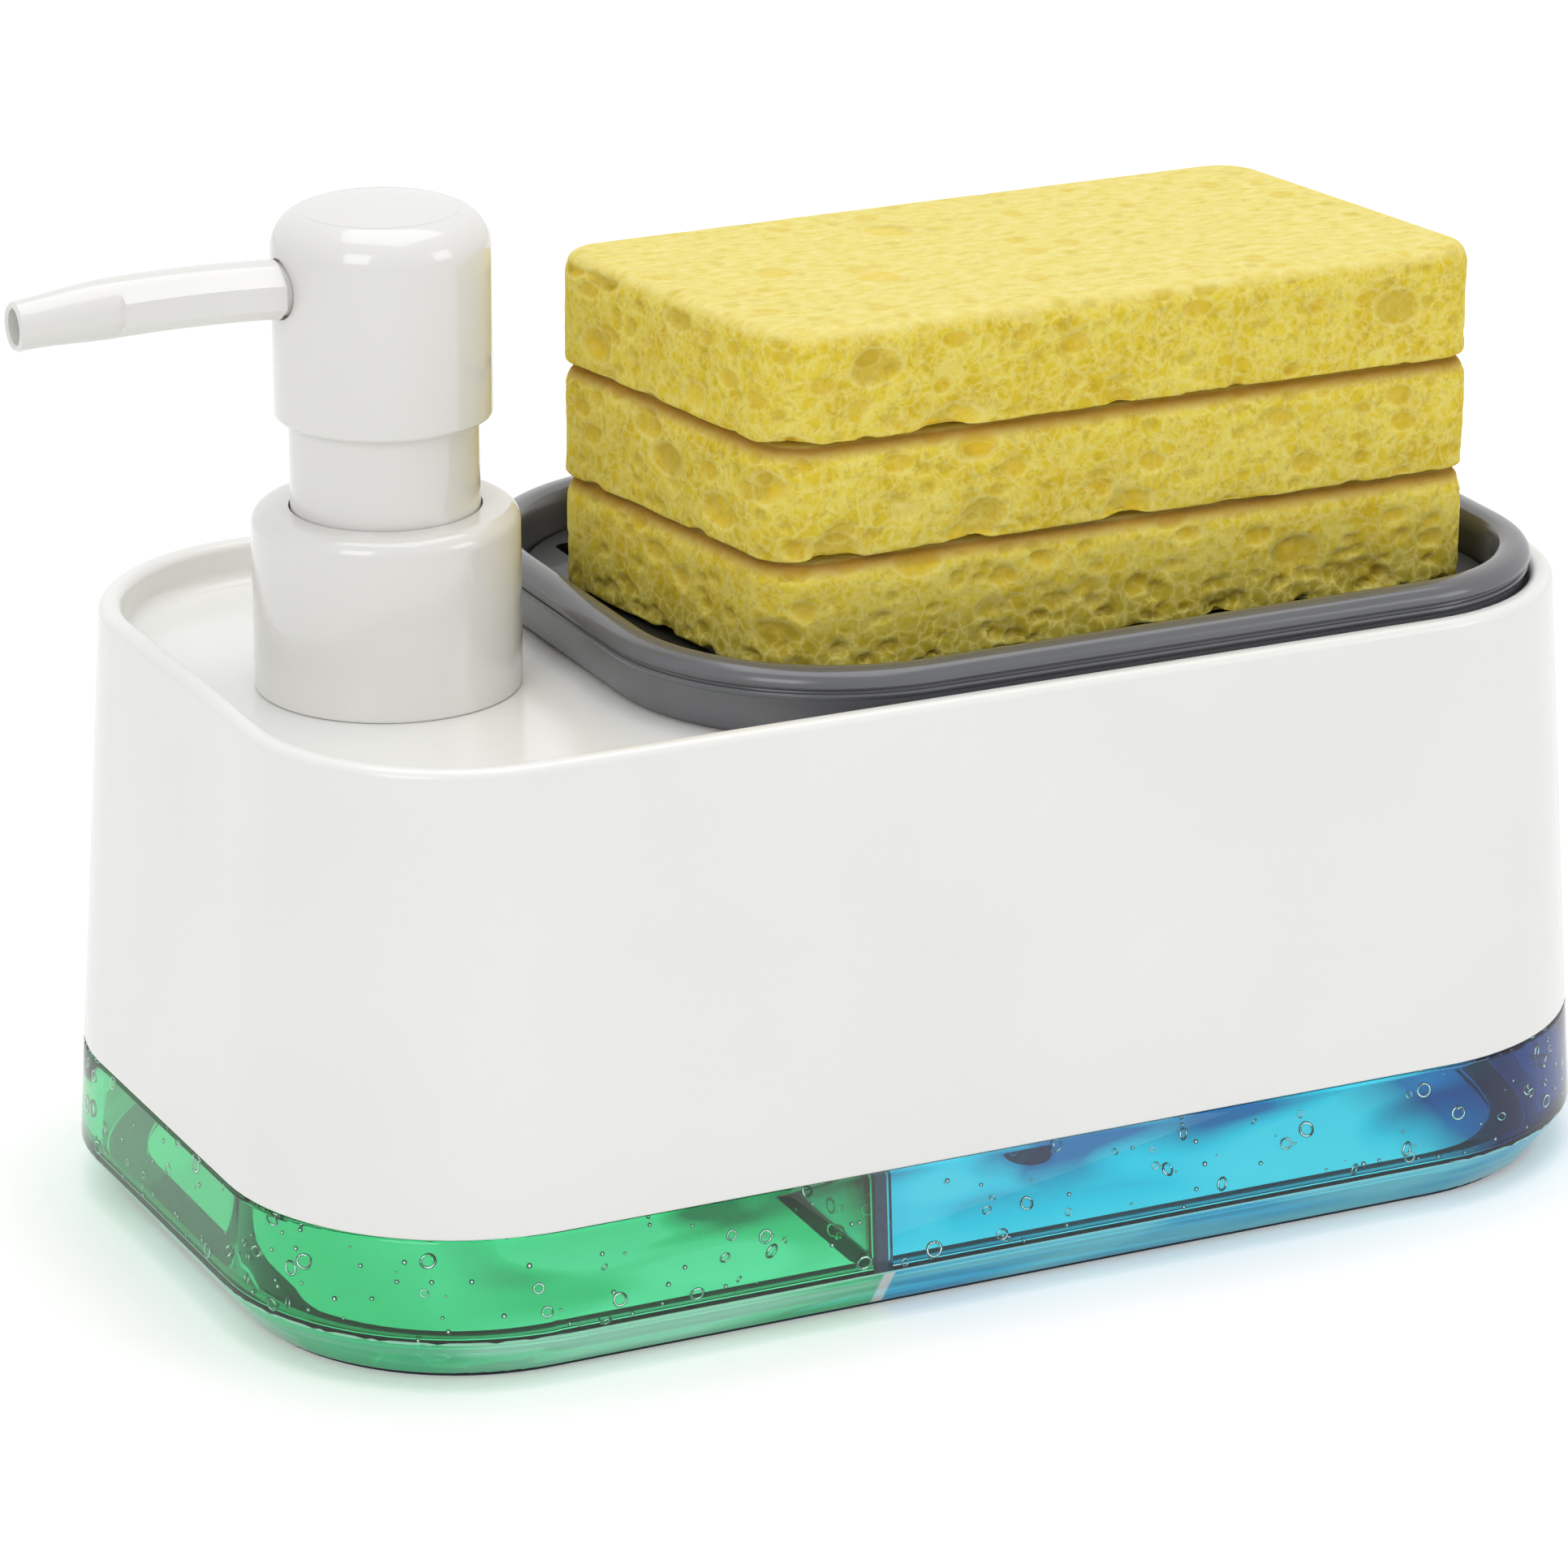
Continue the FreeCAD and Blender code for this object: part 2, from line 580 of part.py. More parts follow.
def make_sponge_tray():
    """A rimmed tray whose ledge rests on the deck and whose basin hangs through the opening."""
    lip_z = TRAY_Z - LIP_THICKNESS
    hollow = tray_block(TRAY_WALL, LEDGE_Z, TRAY_Z + OVERRUN)
    lip = eased(tray_block(-LIP_OVERHANG, lip_z, TRAY_Z), LIP_ROUND, lip_z).cut(hollow)
    lip = eased(lip, LIP_ROUND, TRAY_Z)
    band = eased(tray_block(0, DECK_Z, TRAY_Z - LIP_ROUND), TRAY_FOOT_ROUND, DECK_Z).cut(hollow)
    basin = eased(tray_block(LEDGE_WIDTH, BASIN_Z, LEDGE_Z), BASIN_ROUND, BASIN_Z)
    basin_hollow = tray_block(LEDGE_WIDTH + BASIN_WALL, BASIN_Z + TRAY_FLOOR, LEDGE_Z + OVERRUN)
    basin_hollow = eased(basin_hollow, BASIN_ROUND - BASIN_WALL, BASIN_Z + TRAY_FLOOR)
    return lip.fuse([band, basin]).cut(basin_hollow).removeSplitter()


def make_drain_rack():
    """A plate with two rows of slots either side of a plain strip."""
    inset = TRAY_WALL + LOOSE_GAP
    rack = tray_block(inset, LEDGE_Z, RACK_Z)
    middle = TRAY_LEFT + TRAY_LENGTH / 2
    columns = math.floor((TRAY_LENGTH - 2 * inset - 2 * RACK_END) / RACK_SLOT_PITCH)
    slot_length = RIDGE_DEPTH / 2 - TRAY_PULL - inset - RACK_EDGE - RACK_SPINE / 2
    rounds = RACK_SLOT_ROUND, RACK_SLOT_ROUND
    low = LEDGE_Z - OVERRUN
    slots = []
    for column in range(columns):
        left = middle + (column - (columns - 1) / 2) * RACK_SLOT_PITCH - RACK_SLOT_WIDTH / 2
        wire = rounded_wire(left, left + RACK_SLOT_WIDTH, slot_length / 2, *rounds, low)
        for side in (-1, 1):
            slot = raised(wire, RACK_THICKNESS + 2 * OVERRUN)
            slots.append(slot.translated(at(0, side * (RACK_SPINE + slot_length) / 2, 0)))
    return rack.cut(slots)


def make_sponge(level):
    """One of the stacked sponges, counted from the rack up, whose ends are cut on a slant."""
    low = RACK_Z + SPONGE_GAP + level * (SPONGE_THICKNESS + SPONGE_GAP)
    right = SPONGE_LEFT + SPONGE_SPAN
    back = SPONGE_FRONT + SPONGE_DEPTH
    points = [
        at(SPONGE_LEFT + SPONGE_SLANT, SPONGE_FRONT, low),
        at(right, SPONGE_FRONT, low),
        at(right - SPONGE_SLANT, back, low),
        at(SPONGE_LEFT, back, low),
    ]
    sponge = raised(Part.makePolygon(points + points[:1]), SPONGE_THICKNESS)
    upright = [edge for edge in sponge.Edges if edge.BoundBox.ZLength > TOUCH]
    return eased(sponge.makeFillet(SPONGE_CORNER, upright), SPONGE_ROUND, low, low + SPONGE_THICKNESS)


def make_pump_collar():
    roof = COLLAR_Z - COLLAR_ROOF
    mouth = SLEEVE_RADIUS + FIT_GAP
    return turned(
        (COLLAR_BORE, DECK_Z, 0),
        (COLLAR_RADIUS, DECK_Z, COLLAR_FOOT_ROUND),
        (COLLAR_RADIUS, COLLAR_Z, COLLAR_ROUND),
        (mouth, COLLAR_Z, 0),
        (mouth, roof, 0),
        (COLLAR_BORE, roof, 0),
    )


def make_guide_sleeve():
    """The tube that the head slides over, held by a flange under the collar's roof."""
    inner = SLEEVE_RADIUS - SLEEVE_WALL
    return turned(
        (inner, CAP_Z, 0),
        (SLEEVE_FLANGE_RADIUS, CAP_Z, 0),
        (SLEEVE_FLANGE_RADIUS, SLEEVE_FLANGE_Z, 0),
        (SLEEVE_RADIUS, SLEEVE_FLANGE_Z, 0),
        (SLEEVE_RADIUS, SLEEVE_Z, SLEEVE_ROUND),
        (inner, SLEEVE_Z, 0),
    )


def make_neck_gasket():
    return ring(NECK_RADIUS, NECK_RADIUS - NECK_WALL, NECK_Z, NECK_GASKET_Z)


def make_pump_chamber():
    """A flanged cylinder that narrows to the inlet valve and the dip tube's socket."""
    socket_bore = TUBE_RADIUS + SLIDE_GAP
    socket_radius = socket_bore + INLET_WALL
    socket_low = TUBE_TOP_Z - SOCKET_DEPTH
    narrow_z = CONE_Z + BALL_POCKET - THROAT_RADIUS
    return turned(
        (socket_bore, socket_low, 0),
        (socket_radius, socket_low, 0),
        (socket_radius, narrow_z, 0),
        (CHAMBER_RADIUS, SEAT_Z, 0),
        (CHAMBER_RADIUS, NECK_GASKET_Z, 0),
        (NECK_RADIUS, NECK_GASKET_Z, 0),
        (NECK_RADIUS, CHAMBER_Z, 0),
        (CHAMBER_BORE, CHAMBER_Z, 0),
        (CHAMBER_BORE, SEAT_Z, 0),
        (BALL_POCKET, SEAT_Z, 0),
        (BALL_POCKET, narrow_z, 0),
        (THROAT_RADIUS, CONE_Z, 0),
        (THROAT_RADIUS, TUBE_TOP_Z, 0),
        (socket_bore, TUBE_TOP_Z, 0),
    )


def make_chamber_cap():
    """The chamber's cover: a spigot inside the bore, a flange on top and a guide for the stem."""
    guide = STEM_RADIUS + SLIDE_GAP
    spigot_radius = CHAMBER_BORE - SLIDE_GAP
    spigot_low = CHAMBER_Z - CAP_SPIGOT
    top = CAP_Z + CAP_GUIDE_RISE
    return turned(
        (guide, spigot_low, 0),
        (spigot_radius, spigot_low, 0),
        (spigot_radius, CHAMBER_Z, 0),
        (NECK_RADIUS, CHAMBER_Z, 0),
        (NECK_RADIUS, CAP_Z, 0),
        (CAP_GUIDE_RADIUS, CAP_Z, 0),
        (CAP_GUIDE_RADIUS, top, 0),
        (guide, top, 0),
    )


def make_spring_seat():
    return ring(CHAMBER_BORE - FIT_GAP, SPRING_SEAT_BORE, SEAT_Z, SEAT_Z + SPRING_SEAT_THICKNESS)


def make_return_spring():
    low = SEAT_Z + SPRING_SEAT_THICKNESS + SPRING_END_GAP + SPRING_WIRE_RADIUS
    height = STEM_FOOT_Z - STEM_FOOT - SPRING_END_GAP - SPRING_WIRE_RADIUS - low
    wire = Part.Wire(Part.makeCircle(SPRING_WIRE_RADIUS, at(SPRING_RADIUS, 0, low), at(0, 1, 0)))
    return wound(wire, height / SPRING_TURNS, height, SPRING_RADIUS, low)


def make_inlet_ball():
    return Part.makeSphere(BALL_RADIUS, at(0, 0, BALL_Z))


def make_dip_tube():
    """A straight tube with its lower end cut at a slant."""
    tube = ring(TUBE_RADIUS, TUBE_RADIUS - TUBE_WALL, TUBE_LOW_Z, TUBE_TOP_Z)
    size = 2 * OVERRUN + 2 * TUBE_RADIUS
    cutter = centred_box(0, 0, -size, size, size, size)
    cutter.rotate(at(0, 0, 0), at(0, 1, 0), TUBE_CUT_DEG)
    slant = TUBE_RADIUS * math.tan(math.radians(TUBE_CUT_DEG))
    return tube.cut(cutter.translated(at(0, 0, TUBE_LOW_Z + slant)))


def make_piston():
    """A ring with a sealing lip at each end and a waist between them."""
    low = PISTON_Z - PISTON_HEIGHT
    bore = STEM_RADIUS + SLIDE_GAP
    waist = PISTON_RADIUS - PISTON_WAIST
    return turned(
        (bore, low, 0),
        (PISTON_RADIUS, low, 0),
        (PISTON_RADIUS, low + PISTON_LIP, 0),
        (waist, low + PISTON_LIP, 0),
        (waist, PISTON_Z - PISTON_LIP, 0),
        (PISTON_RADIUS, PISTON_Z - PISTON_LIP, 0),
        (PISTON_RADIUS, PISTON_Z, 0),
        (bore, PISTON_Z, 0),
    )


def make_pump_stem():
    """A hollow stem, closed by its foot, with cross ports that the piston covers at rest."""
    top = BOSS_Z + STEM_SOCKET - FIT_GAP
    low = STEM_FOOT_Z - STEM_FOOT
    stem = turned(
        (0, low, 0),
        (STEM_FOOT_RADIUS, low, 0),
        (STEM_FOOT_RADIUS, STEM_FOOT_Z, 0),
        (STEM_RADIUS, STEM_FOOT_Z, 0),
        (STEM_RADIUS, top, 0),
        (STEM_BORE, top, 0),
        (STEM_BORE, STEM_FOOT_Z, 0),
        (0, STEM_FOOT_Z, 0),
    )
    port_start = at(-STEM_FOOT_RADIUS, 0, STEM_FOOT_Z + STEM_PORT_RISE)
    return stem.cut(Part.makeCylinder(STEM_PORT_RADIUS, 2 * STEM_FOOT_RADIUS, port_start, at(1, 0, 0)))


def spout_rod(radius, start, end):
    """A rod along the spout between two distances from the pump's axis."""
    return Part.makeCylinder(radius, end - start, at(-start, 0, SPOUT_Z), at(-1, 0, 0))


def make_pump_head():
    """A domed cap with the stem's boss and the spout's socket inside."""
    ceiling = HEAD_Z - HEAD_ROOF
    cap = turned(
        (HEAD_BORE, SKIRT_Z, 0),
        (HEAD_RADIUS, SKIRT_Z, HEAD_FOOT_ROUND),
        (HEAD_RADIUS, HEAD_Z - HEAD_CROWN, HEAD_DOME_ROUND),
        (HEAD_CROWN_FLAT, HEAD_Z, HEAD_CROWN_ROUND),
        (0, HEAD_Z, 0),
        (0, ceiling, 0),
        (HEAD_BORE, ceiling - HEAD_CROWN, HEAD_INNER_ROUND),
    )
    root = HEAD_RADIUS - SPOUT_SOCKET
    boss = rod(BOSS_RADIUS, BOSS_Z, ceiling + HEAD_ROOF / 2)
    socket = spout_rod(SPOUT_SOCKET_RADIUS, 0, HEAD_BORE + SLIDE_GAP)
    head = cap.fuse([boss, socket]).removeSplitter()
    stem_socket = rod(STEM_RADIUS + SLIDE_GAP, BOSS_Z - OVERRUN, BOSS_Z + STEM_SOCKET)
    passages = [rod(STEM_BORE, BOSS_Z, SPOUT_Z), spout_rod(SPOUT_BORE, 0, root + OVERRUN)]
    spout_hole = spout_rod(SPOUT_ROOT_RADIUS + SLIDE_GAP, root, HEAD_RADIUS + OVERRUN)
    return head.cut([stem_socket, spout_hole] + passages)


def make_spout():
    """A tube that tapers and droops a little towards its mouth, with a rib along each side."""
    root = HEAD_RADIUS - SPOUT_SOCKET + FIT_GAP
    seat = HEAD_RADIUS - SPOUT_SOCKET / 2
    free = SPOUT_REACH - HEAD_RADIUS
    stations = (
        (seat, SPOUT_ROOT_RADIUS, 0),
        (HEAD_RADIUS, SPOUT_ROOT_RADIUS, 0),
        (HEAD_RADIUS + SPOUT_MIDDLE_SHARE * free, SPOUT_MIDDLE_RADIUS, SPOUT_MIDDLE_LIFT),
        (SPOUT_REACH, SPOUT_TIP_RADIUS, -SPOUT_TIP_DROP),
    )
    rings = []
    for distance, radius, lift in stations:
        circle = Part.makeCircle(radius, at(-distance, 0, SPOUT_Z + lift), at(-1, 0, 0))
        rings.append(Part.Wire(circle))
    tube = Part.makeLoft(rings, True, False).fuse(spout_rod(SPOUT_ROOT_RADIUS, root, seat))
    rib_length = SPOUT_RIB_SHARE * free
    rib_x = -HEAD_RADIUS - FIT_GAP - rib_length / 2
    rib_width = 2 * (SPOUT_ROOT_RADIUS + SPOUT_RIB_PROUD)
    rib_low = SPOUT_Z - SPOUT_RIB_DROP
    rib = centred_box(rib_x, 0, rib_low, rib_length, rib_width, SPOUT_RIB_DROP + SPOUT_RIB_TOP)
    inner_end = at(-root, 0, SPOUT_Z)
    along = (at(-SPOUT_REACH, 0, SPOUT_Z - SPOUT_TIP_DROP) - inner_end).normalize()
    bore = Part.makeCylinder(SPOUT_BORE, SPOUT_REACH + OVERRUN, inner_end - along * OVERRUN, along)
    return tube.fuse(rib).removeSplitter().cut(bore)


CADDY_PIECES = {
    "foot_ring": make_foot_ring(),
    "tank_tub": make_tank_tub(),
    "cell_divider": make_cell_divider(),
    "divider_seal": make_divider_seal(),
    "soap_pump_cell": make_soap_pump_cell(),
    "soap_spare_cell": make_soap_spare_cell(),
    "lid_gasket": make_lid_gasket(),
    "tank_lid": make_tank_lid(),
    "refill_stopper": at_port(make_refill_stopper()),
    "housing": make_housing(),
    "sponge_tray": make_sponge_tray(),
    "drain_rack": make_drain_rack(),
    "sponge_bottom": make_sponge(0),
    "sponge_middle": make_sponge(1),
    "sponge_top": make_sponge(2),
}
PUMP_PIECES = {
    "pump_collar": make_pump_collar(),
    "guide_sleeve": make_guide_sleeve(),
    "neck_gasket": make_neck_gasket(),
    "pump_chamber": make_pump_chamber(),
    "chamber_cap": make_chamber_cap(),
    "spring_seat": make_spring_seat(),
    "return_spring": make_return_spring(),
    "inlet_ball": make_inlet_ball(),
    "dip_tube": make_dip_tube(),
    "piston": make_piston(),
    "pump_stem": make_pump_stem(),
    "pump_head": make_pump_head(),
    "spout": make_spout(),
}

os.makedirs("parts", exist_ok=True)
for name, piece in (CADDY_PIECES | {name: at_pump(piece) for name, piece in PUMP_PIECES.items()}).items():
    piece.exportStep(f"parts/{name}.step")
    print(f"{name}: {len(piece.Solids)} solid, {piece.Volume:.1f} mm3, valid {piece.isValid()}")
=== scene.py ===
# %% [markdown]
# # A soap pump caddy, dressed in Blender
#
# The caddy is a clear tank of soap in two cells, a white housing with a press pump, and a grey tray with a
# stack of sponges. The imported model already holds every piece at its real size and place. This lesson gives
# each piece its surface, and rebuilds the pieces that the solids can only block in.

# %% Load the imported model
import json
import math

import bmesh
import bpy
import numpy as np
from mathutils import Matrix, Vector


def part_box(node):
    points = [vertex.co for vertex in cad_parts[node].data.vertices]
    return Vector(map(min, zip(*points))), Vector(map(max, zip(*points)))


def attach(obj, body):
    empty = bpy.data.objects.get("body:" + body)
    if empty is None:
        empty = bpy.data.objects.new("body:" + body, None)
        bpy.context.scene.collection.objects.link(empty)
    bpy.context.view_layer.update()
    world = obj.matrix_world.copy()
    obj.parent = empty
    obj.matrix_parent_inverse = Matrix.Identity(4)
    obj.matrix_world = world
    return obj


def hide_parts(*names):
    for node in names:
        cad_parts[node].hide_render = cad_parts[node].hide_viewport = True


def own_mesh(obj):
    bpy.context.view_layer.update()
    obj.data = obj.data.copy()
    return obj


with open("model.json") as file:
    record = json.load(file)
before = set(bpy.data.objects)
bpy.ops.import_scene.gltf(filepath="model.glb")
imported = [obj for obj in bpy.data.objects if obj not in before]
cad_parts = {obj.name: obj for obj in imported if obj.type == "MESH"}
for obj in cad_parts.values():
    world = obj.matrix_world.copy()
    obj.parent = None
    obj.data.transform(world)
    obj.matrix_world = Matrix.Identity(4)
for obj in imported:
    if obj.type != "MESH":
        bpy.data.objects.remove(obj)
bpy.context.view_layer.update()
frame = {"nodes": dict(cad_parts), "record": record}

MM = 0.001
scene = bpy.context.scene

# %% [markdown]
# ## Small helpers
#
# Colours are given as sRGB hex values, while Blender's sockets want linear light, so one function turns the
# one into the other. Node trees are written as code, and one function adds a node with its settings and its
# links.

# %% Colours and nodes


def linear(hex_colour):
    """An sRGB hex colour as linear RGBA."""
    channels = [int(hex_colour[i : i + 2], 16) / 255 for i in (1, 3, 5)]
    return tuple(c / 12.92 if c <= 0.04045 else ((c + 0.055) / 1.055) ** 2.4 for c in channels) + (1.0,)


def add(tree, kind, inputs=None, **settings):
    """Adds a node. Each input is a value, or the output socket of another node."""
    made = tree.nodes.new(kind)
    for name, value in settings.items():
        setattr(made, name, value)
    for socket, value in (inputs or {}).items():
        if isinstance(value, bpy.types.NodeSocket):
            tree.links.new(value, made.inputs[socket])
        else:
            made.inputs[socket].default_value = value
    return made


def per_metre(size_mm):
    """The texture scale that makes a pattern repeat about every size_mm."""
    return 1 / (size_mm * MM)


def new_material(name, **constants):
    """A material with one Principled shader, and the sockets that are the same all over it."""
    material = bpy.data.materials.new(name)
    material.use_nodes = True
    tree = material.node_tree
    shader = tree.nodes["Principled BSDF"]
    for socket, value in constants.items():
        shader.inputs[socket.replace("_", " ")].default_value = value
    return material, tree, shader


def plug(tree, shader, **sockets):
    """Links node outputs to a shader's sockets."""
    for socket, output in sockets.items():
        tree.links.new(output, shader.inputs[socket.replace("_", " ")])


def ramp(tree, factor, *stops):
    """A colour ramp from (position, hex colour) stops."""
    made = add(tree, "ShaderNodeValToRGB", {"Fac": factor})
    elements = made.color_ramp.elements
    while len(elements) < len(stops):
        elements.new(1.0)
    for element, (position, hex_colour) in zip(elements, stops):
        element.position = position
        element.color = linear(hex_colour)
    return made.outputs["Color"]


def object_coordinates(tree):
    return add(tree, "ShaderNodeTexCoord").outputs["Object"]


# %% [markdown]
# ## Pieces
#
# A CAD node arrives as loose triangles. A copy is welded, and its faces are shaded smooth except across
# real edges, so that fillets catch light as they do on a moulded part. Other pieces are lofted: rings of
# points are joined with quads. Either way the finished piece takes the node's place on the node's body.

# %% Pieces from nodes and from rings

SHARP_ANGLE = math.radians(28)
WELD = 0.002 * MM


def smoothed(shape, name):
    """A mesh of a bmesh shape, shaded smooth except across real edges."""
    for face in shape.faces:
        face.smooth = True
    for edge in shape.edges:
        edge.smooth = edge.calc_face_angle(math.pi) < SHARP_ANGLE
    mesh = bpy.data.meshes.new(name)
    shape.to_mesh(mesh)
    shape.free()
    return mesh


def welded_copy(node):
    shape = bmesh.new()
    shape.from_mesh(frame["nodes"][node].data)
    bmesh.ops.remove_doubles(shape, verts=shape.verts, dist=WELD)
    return smoothed(shape, node + "_skin")


def loft(name, rings, closed):
    """A shell over rings of points. A closed one runs back to its first ring, an open one has end faces."""
    shape = bmesh.new()
    rows = [[shape.verts.new(point) for point in ring] for ring in rings]
    for row, following in zip(rows, rows[1:] + (rows[:1] if closed else [])):
        for i in range(len(row)):
            shape.faces.new((row[i - 1], row[i], following[i], following[i - 1]))
    if not closed:
        shape.faces.new(rows[0])
        shape.faces.new(rows[-1])
    bmesh.ops.recalc_face_normals(shape, faces=shape.faces)
    return smoothed(shape, name)


def body_of(node):
    return next(body for body, nodes in frame["record"]["behaviour"]["bodies"].items() if node in nodes)


def slot_of(node):
    return next(part["material_slot"] for part in frame["record"]["subparts"] if part["node"] == node)


def stand_for(name, mesh, material, node):
    """A finished piece that rides with a node's body and takes the node's place."""
    piece = bpy.data.objects.new(name, mesh)
    scene.collection.objects.link(piece)
    mesh.materials.clear()
    mesh.materials.append(material)
    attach(piece, body_of(node))
    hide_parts(node)
    print(name, len(mesh.polygons), "faces")
    return piece


# %% [markdown]
# ## White plastic
#
# The housing and the pump are injection-moulded ABS, polished in the mould. The eye sees a warm white with
# soft reflections that waver a little, because the skin of a moulding is never quite flat. A faint broad
# noise tints the white, and a finer one moves the roughness and the bump.

# %% White mouldings


def moulded_white_plastic(name, light, shade, roughness, coat):
    """A white moulding: warm white, slightly wavy gloss."""
    material, tree, shader = new_material(name, IOR=1.52, Coat_Weight=coat, Coat_Roughness=0.04)
    coordinates = object_coordinates(tree)
    flow = add(tree, "ShaderNodeTexNoise", {"Vector": coordinates, "Scale": per_metre(45), "Detail": 2.0})
    tint = ramp(tree, flow.outputs["Fac"], (0.3, shade), (0.7, light))
    skin = add(tree, "ShaderNodeTexNoise", {"Vector": coordinates, "Scale": per_metre(2.6), "Detail": 3.0})
    gloss = add(tree, "ShaderNodeMapRange", {
        "Value": skin.outputs["Fac"], "To Min": roughness - 0.04, "To Max": roughness + 0.04})
    bump = add(tree, "ShaderNodeBump", {
        "Height": skin.outputs["Fac"], "Strength": 0.03, "Distance": 0.2 * MM})
    plug(tree, shader, Base_Color=tint, Roughness=gloss.outputs["Result"], Normal=bump.outputs["Normal"])
    return material


housing_abs = moulded_white_plastic("polished_white_abs", "#F3F3F1", "#EFEFEC", 0.22, 0.12)
pump_abs = moulded_white_plastic("polished_white_pump_abs", "#E9E8E5", "#E4E3DF", 0.14, 0.4)
for node, name, material in (
    ("housing", "housing_shell", housing_abs),
    ("pump_collar", "screw_collar", pump_abs),
    ("guide_sleeve", "sleeve_tube", pump_abs),
    ("pump_head", "press_head", pump_abs),
):
    stand_for(name, welded_copy(node), material, node)

# %% [markdown]
# ## Spout
#
# The spout is a moulded tube that droops a little and narrows at its mouth. From the head to about two
# thirds of its length, each side has a slanted face above an upright one, with a blunt end. A bevelled
# curve keeps one section all along, so the tube is lofted instead, with each ring worked out from its
# place. A narrow waist at the root leaves the dark line where the tube enters the head.

# %% A ring of the spout

SPOUT_FOOT_CORNER = (0.6, -0.8)  # corners of the faces, as shares of the tube's radius
SPOUT_SIDE_LOW = (1.0875, -0.434)
SPOUT_SIDE_HIGH = (1.0875, 0.375)
SPOUT_CROWN_DEG = (57.0, 42.0)  # where the slanted face meets the round top, at the root and at the blunt end


def spout_section(faced, along):
    """Points round the section, as shares of the radius: faced is 0 for round, 1 for the flat faces."""
    crown = math.radians(SPOUT_CROWN_DEG[0] + (SPOUT_CROWN_DEG[1] - SPOUT_CROWN_DEG[0]) * along)
    foot = math.atan2(SPOUT_FOOT_CORNER[1], SPOUT_FOOT_CORNER[0])
    arcs = np.linspace(-math.pi / 2, foot, 9)[:-1], np.linspace(crown, math.pi / 2, 11)
    bottom, top = (np.column_stack([np.cos(arc), np.sin(arc)]) for arc in arcs)
    stops = np.array([SPOUT_FOOT_CORNER, SPOUT_SIDE_LOW, SPOUT_SIDE_HIGH, top[0]])
    faces = [np.linspace(a, b, 6, endpoint=False) for a, b in zip(stops, stops[1:])]
    right = np.concatenate([bottom, *faces, top])
    outline = np.concatenate([right, right[-2:0:-1] * (-1, 1)])
    circle = outline / np.linalg.norm(outline, axis=1)[:, None]
    return circle + (outline - circle) * faced


# %% Loft the spout

PUMP_AXIS = (Vector(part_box("pump_collar")[0]) + Vector(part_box("pump_collar")[1])) / 2
HEAD_RADIUS = (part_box("pump_head")[1].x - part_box("pump_head")[0].x) / 2
SPOUT_REACH = PUMP_AXIS.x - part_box("spout")[0].x
SPOUT_START = PUMP_AXIS.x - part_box("spout")[1].x
SPOUT_AXIS_Z = 134.4 * MM
SPOUT_RADIUS = 4.0 * MM
SPOUT_TIP_SHARE = 0.825
SPOUT_BORE = 2.4 * MM
SPOUT_MOUTH_ROUND = 0.3 * MM
SPOUT_WAIST = 0.4 * MM  # depth of the waist, which runs from inside the head to just outside it
SPOUT_WAIST_INSIDE = 1.1 * MM
SPOUT_WAIST_OUTSIDE = 0.35 * MM
SPOUT_STEP = 0.1 * MM
SPOUT_BLUNT_STEP = 0.25 * MM
SPOUT_FACED_SHARE = 0.62  # of the free length
SPOUT_RISE = 2.38 * MM  # the axis lifts a little at first and droops towards the mouth
SPOUT_DROOP = 2.98 * MM


def spout_ring(distance, radius, faced):
    """A ring at a distance from the pump's axis."""
    free = max(0.0, (distance - HEAD_RADIUS) / (SPOUT_REACH - HEAD_RADIUS))
    lift = SPOUT_RISE * free - SPOUT_DROOP * free * free
    points = spout_section(faced, min(1.0, free / SPOUT_FACED_SHARE)) * radius
    x = PUMP_AXIS.x - distance
    return [(x, PUMP_AXIS.y + across, SPOUT_AXIS_Z + lift + up) for across, up in points]


def spout_rings():
    """The outside from the root to the mouth, and the bore back again."""
    blunt = HEAD_RADIUS + SPOUT_FACED_SHARE * (SPOUT_REACH - HEAD_RADIUS)
    waist, root = HEAD_RADIUS - SPOUT_WAIST_INSIDE, HEAD_RADIUS + SPOUT_WAIST_OUTSIDE
    lip = SPOUT_REACH - SPOUT_MOUTH_ROUND
    rings = [(SPOUT_START, SPOUT_RADIUS, 0), (waist - SPOUT_STEP, SPOUT_RADIUS, 0)]
    rings += [(waist, SPOUT_RADIUS - SPOUT_WAIST, 0), (root, SPOUT_RADIUS - SPOUT_WAIST, 0)]
    rings += [(distance, SPOUT_RADIUS, 1) for distance in np.linspace(root + SPOUT_STEP, blunt, 24)]
    for share in np.linspace(0, 1, 22):
        distance = blunt + SPOUT_BLUNT_STEP + share * (lip - blunt - SPOUT_BLUNT_STEP)
        narrow = 1 - (1 - SPOUT_TIP_SHARE) * share * share * (3 - 2 * share)
        rings.append((distance, SPOUT_RADIUS * narrow, 0))
    mouth = SPOUT_RADIUS * SPOUT_TIP_SHARE
    rings += [(SPOUT_REACH, mouth - SPOUT_MOUTH_ROUND, 0), (SPOUT_REACH, SPOUT_BORE + SPOUT_MOUTH_ROUND, 0)]
    rings += [(distance, SPOUT_BORE, 0) for distance in np.linspace(lip, SPOUT_START, 14)]
    return [spout_ring(*ring) for ring in rings]


stand_for("spout_tube", loft("spout_tube", spout_rings(), closed=True), pump_abs, "spout")
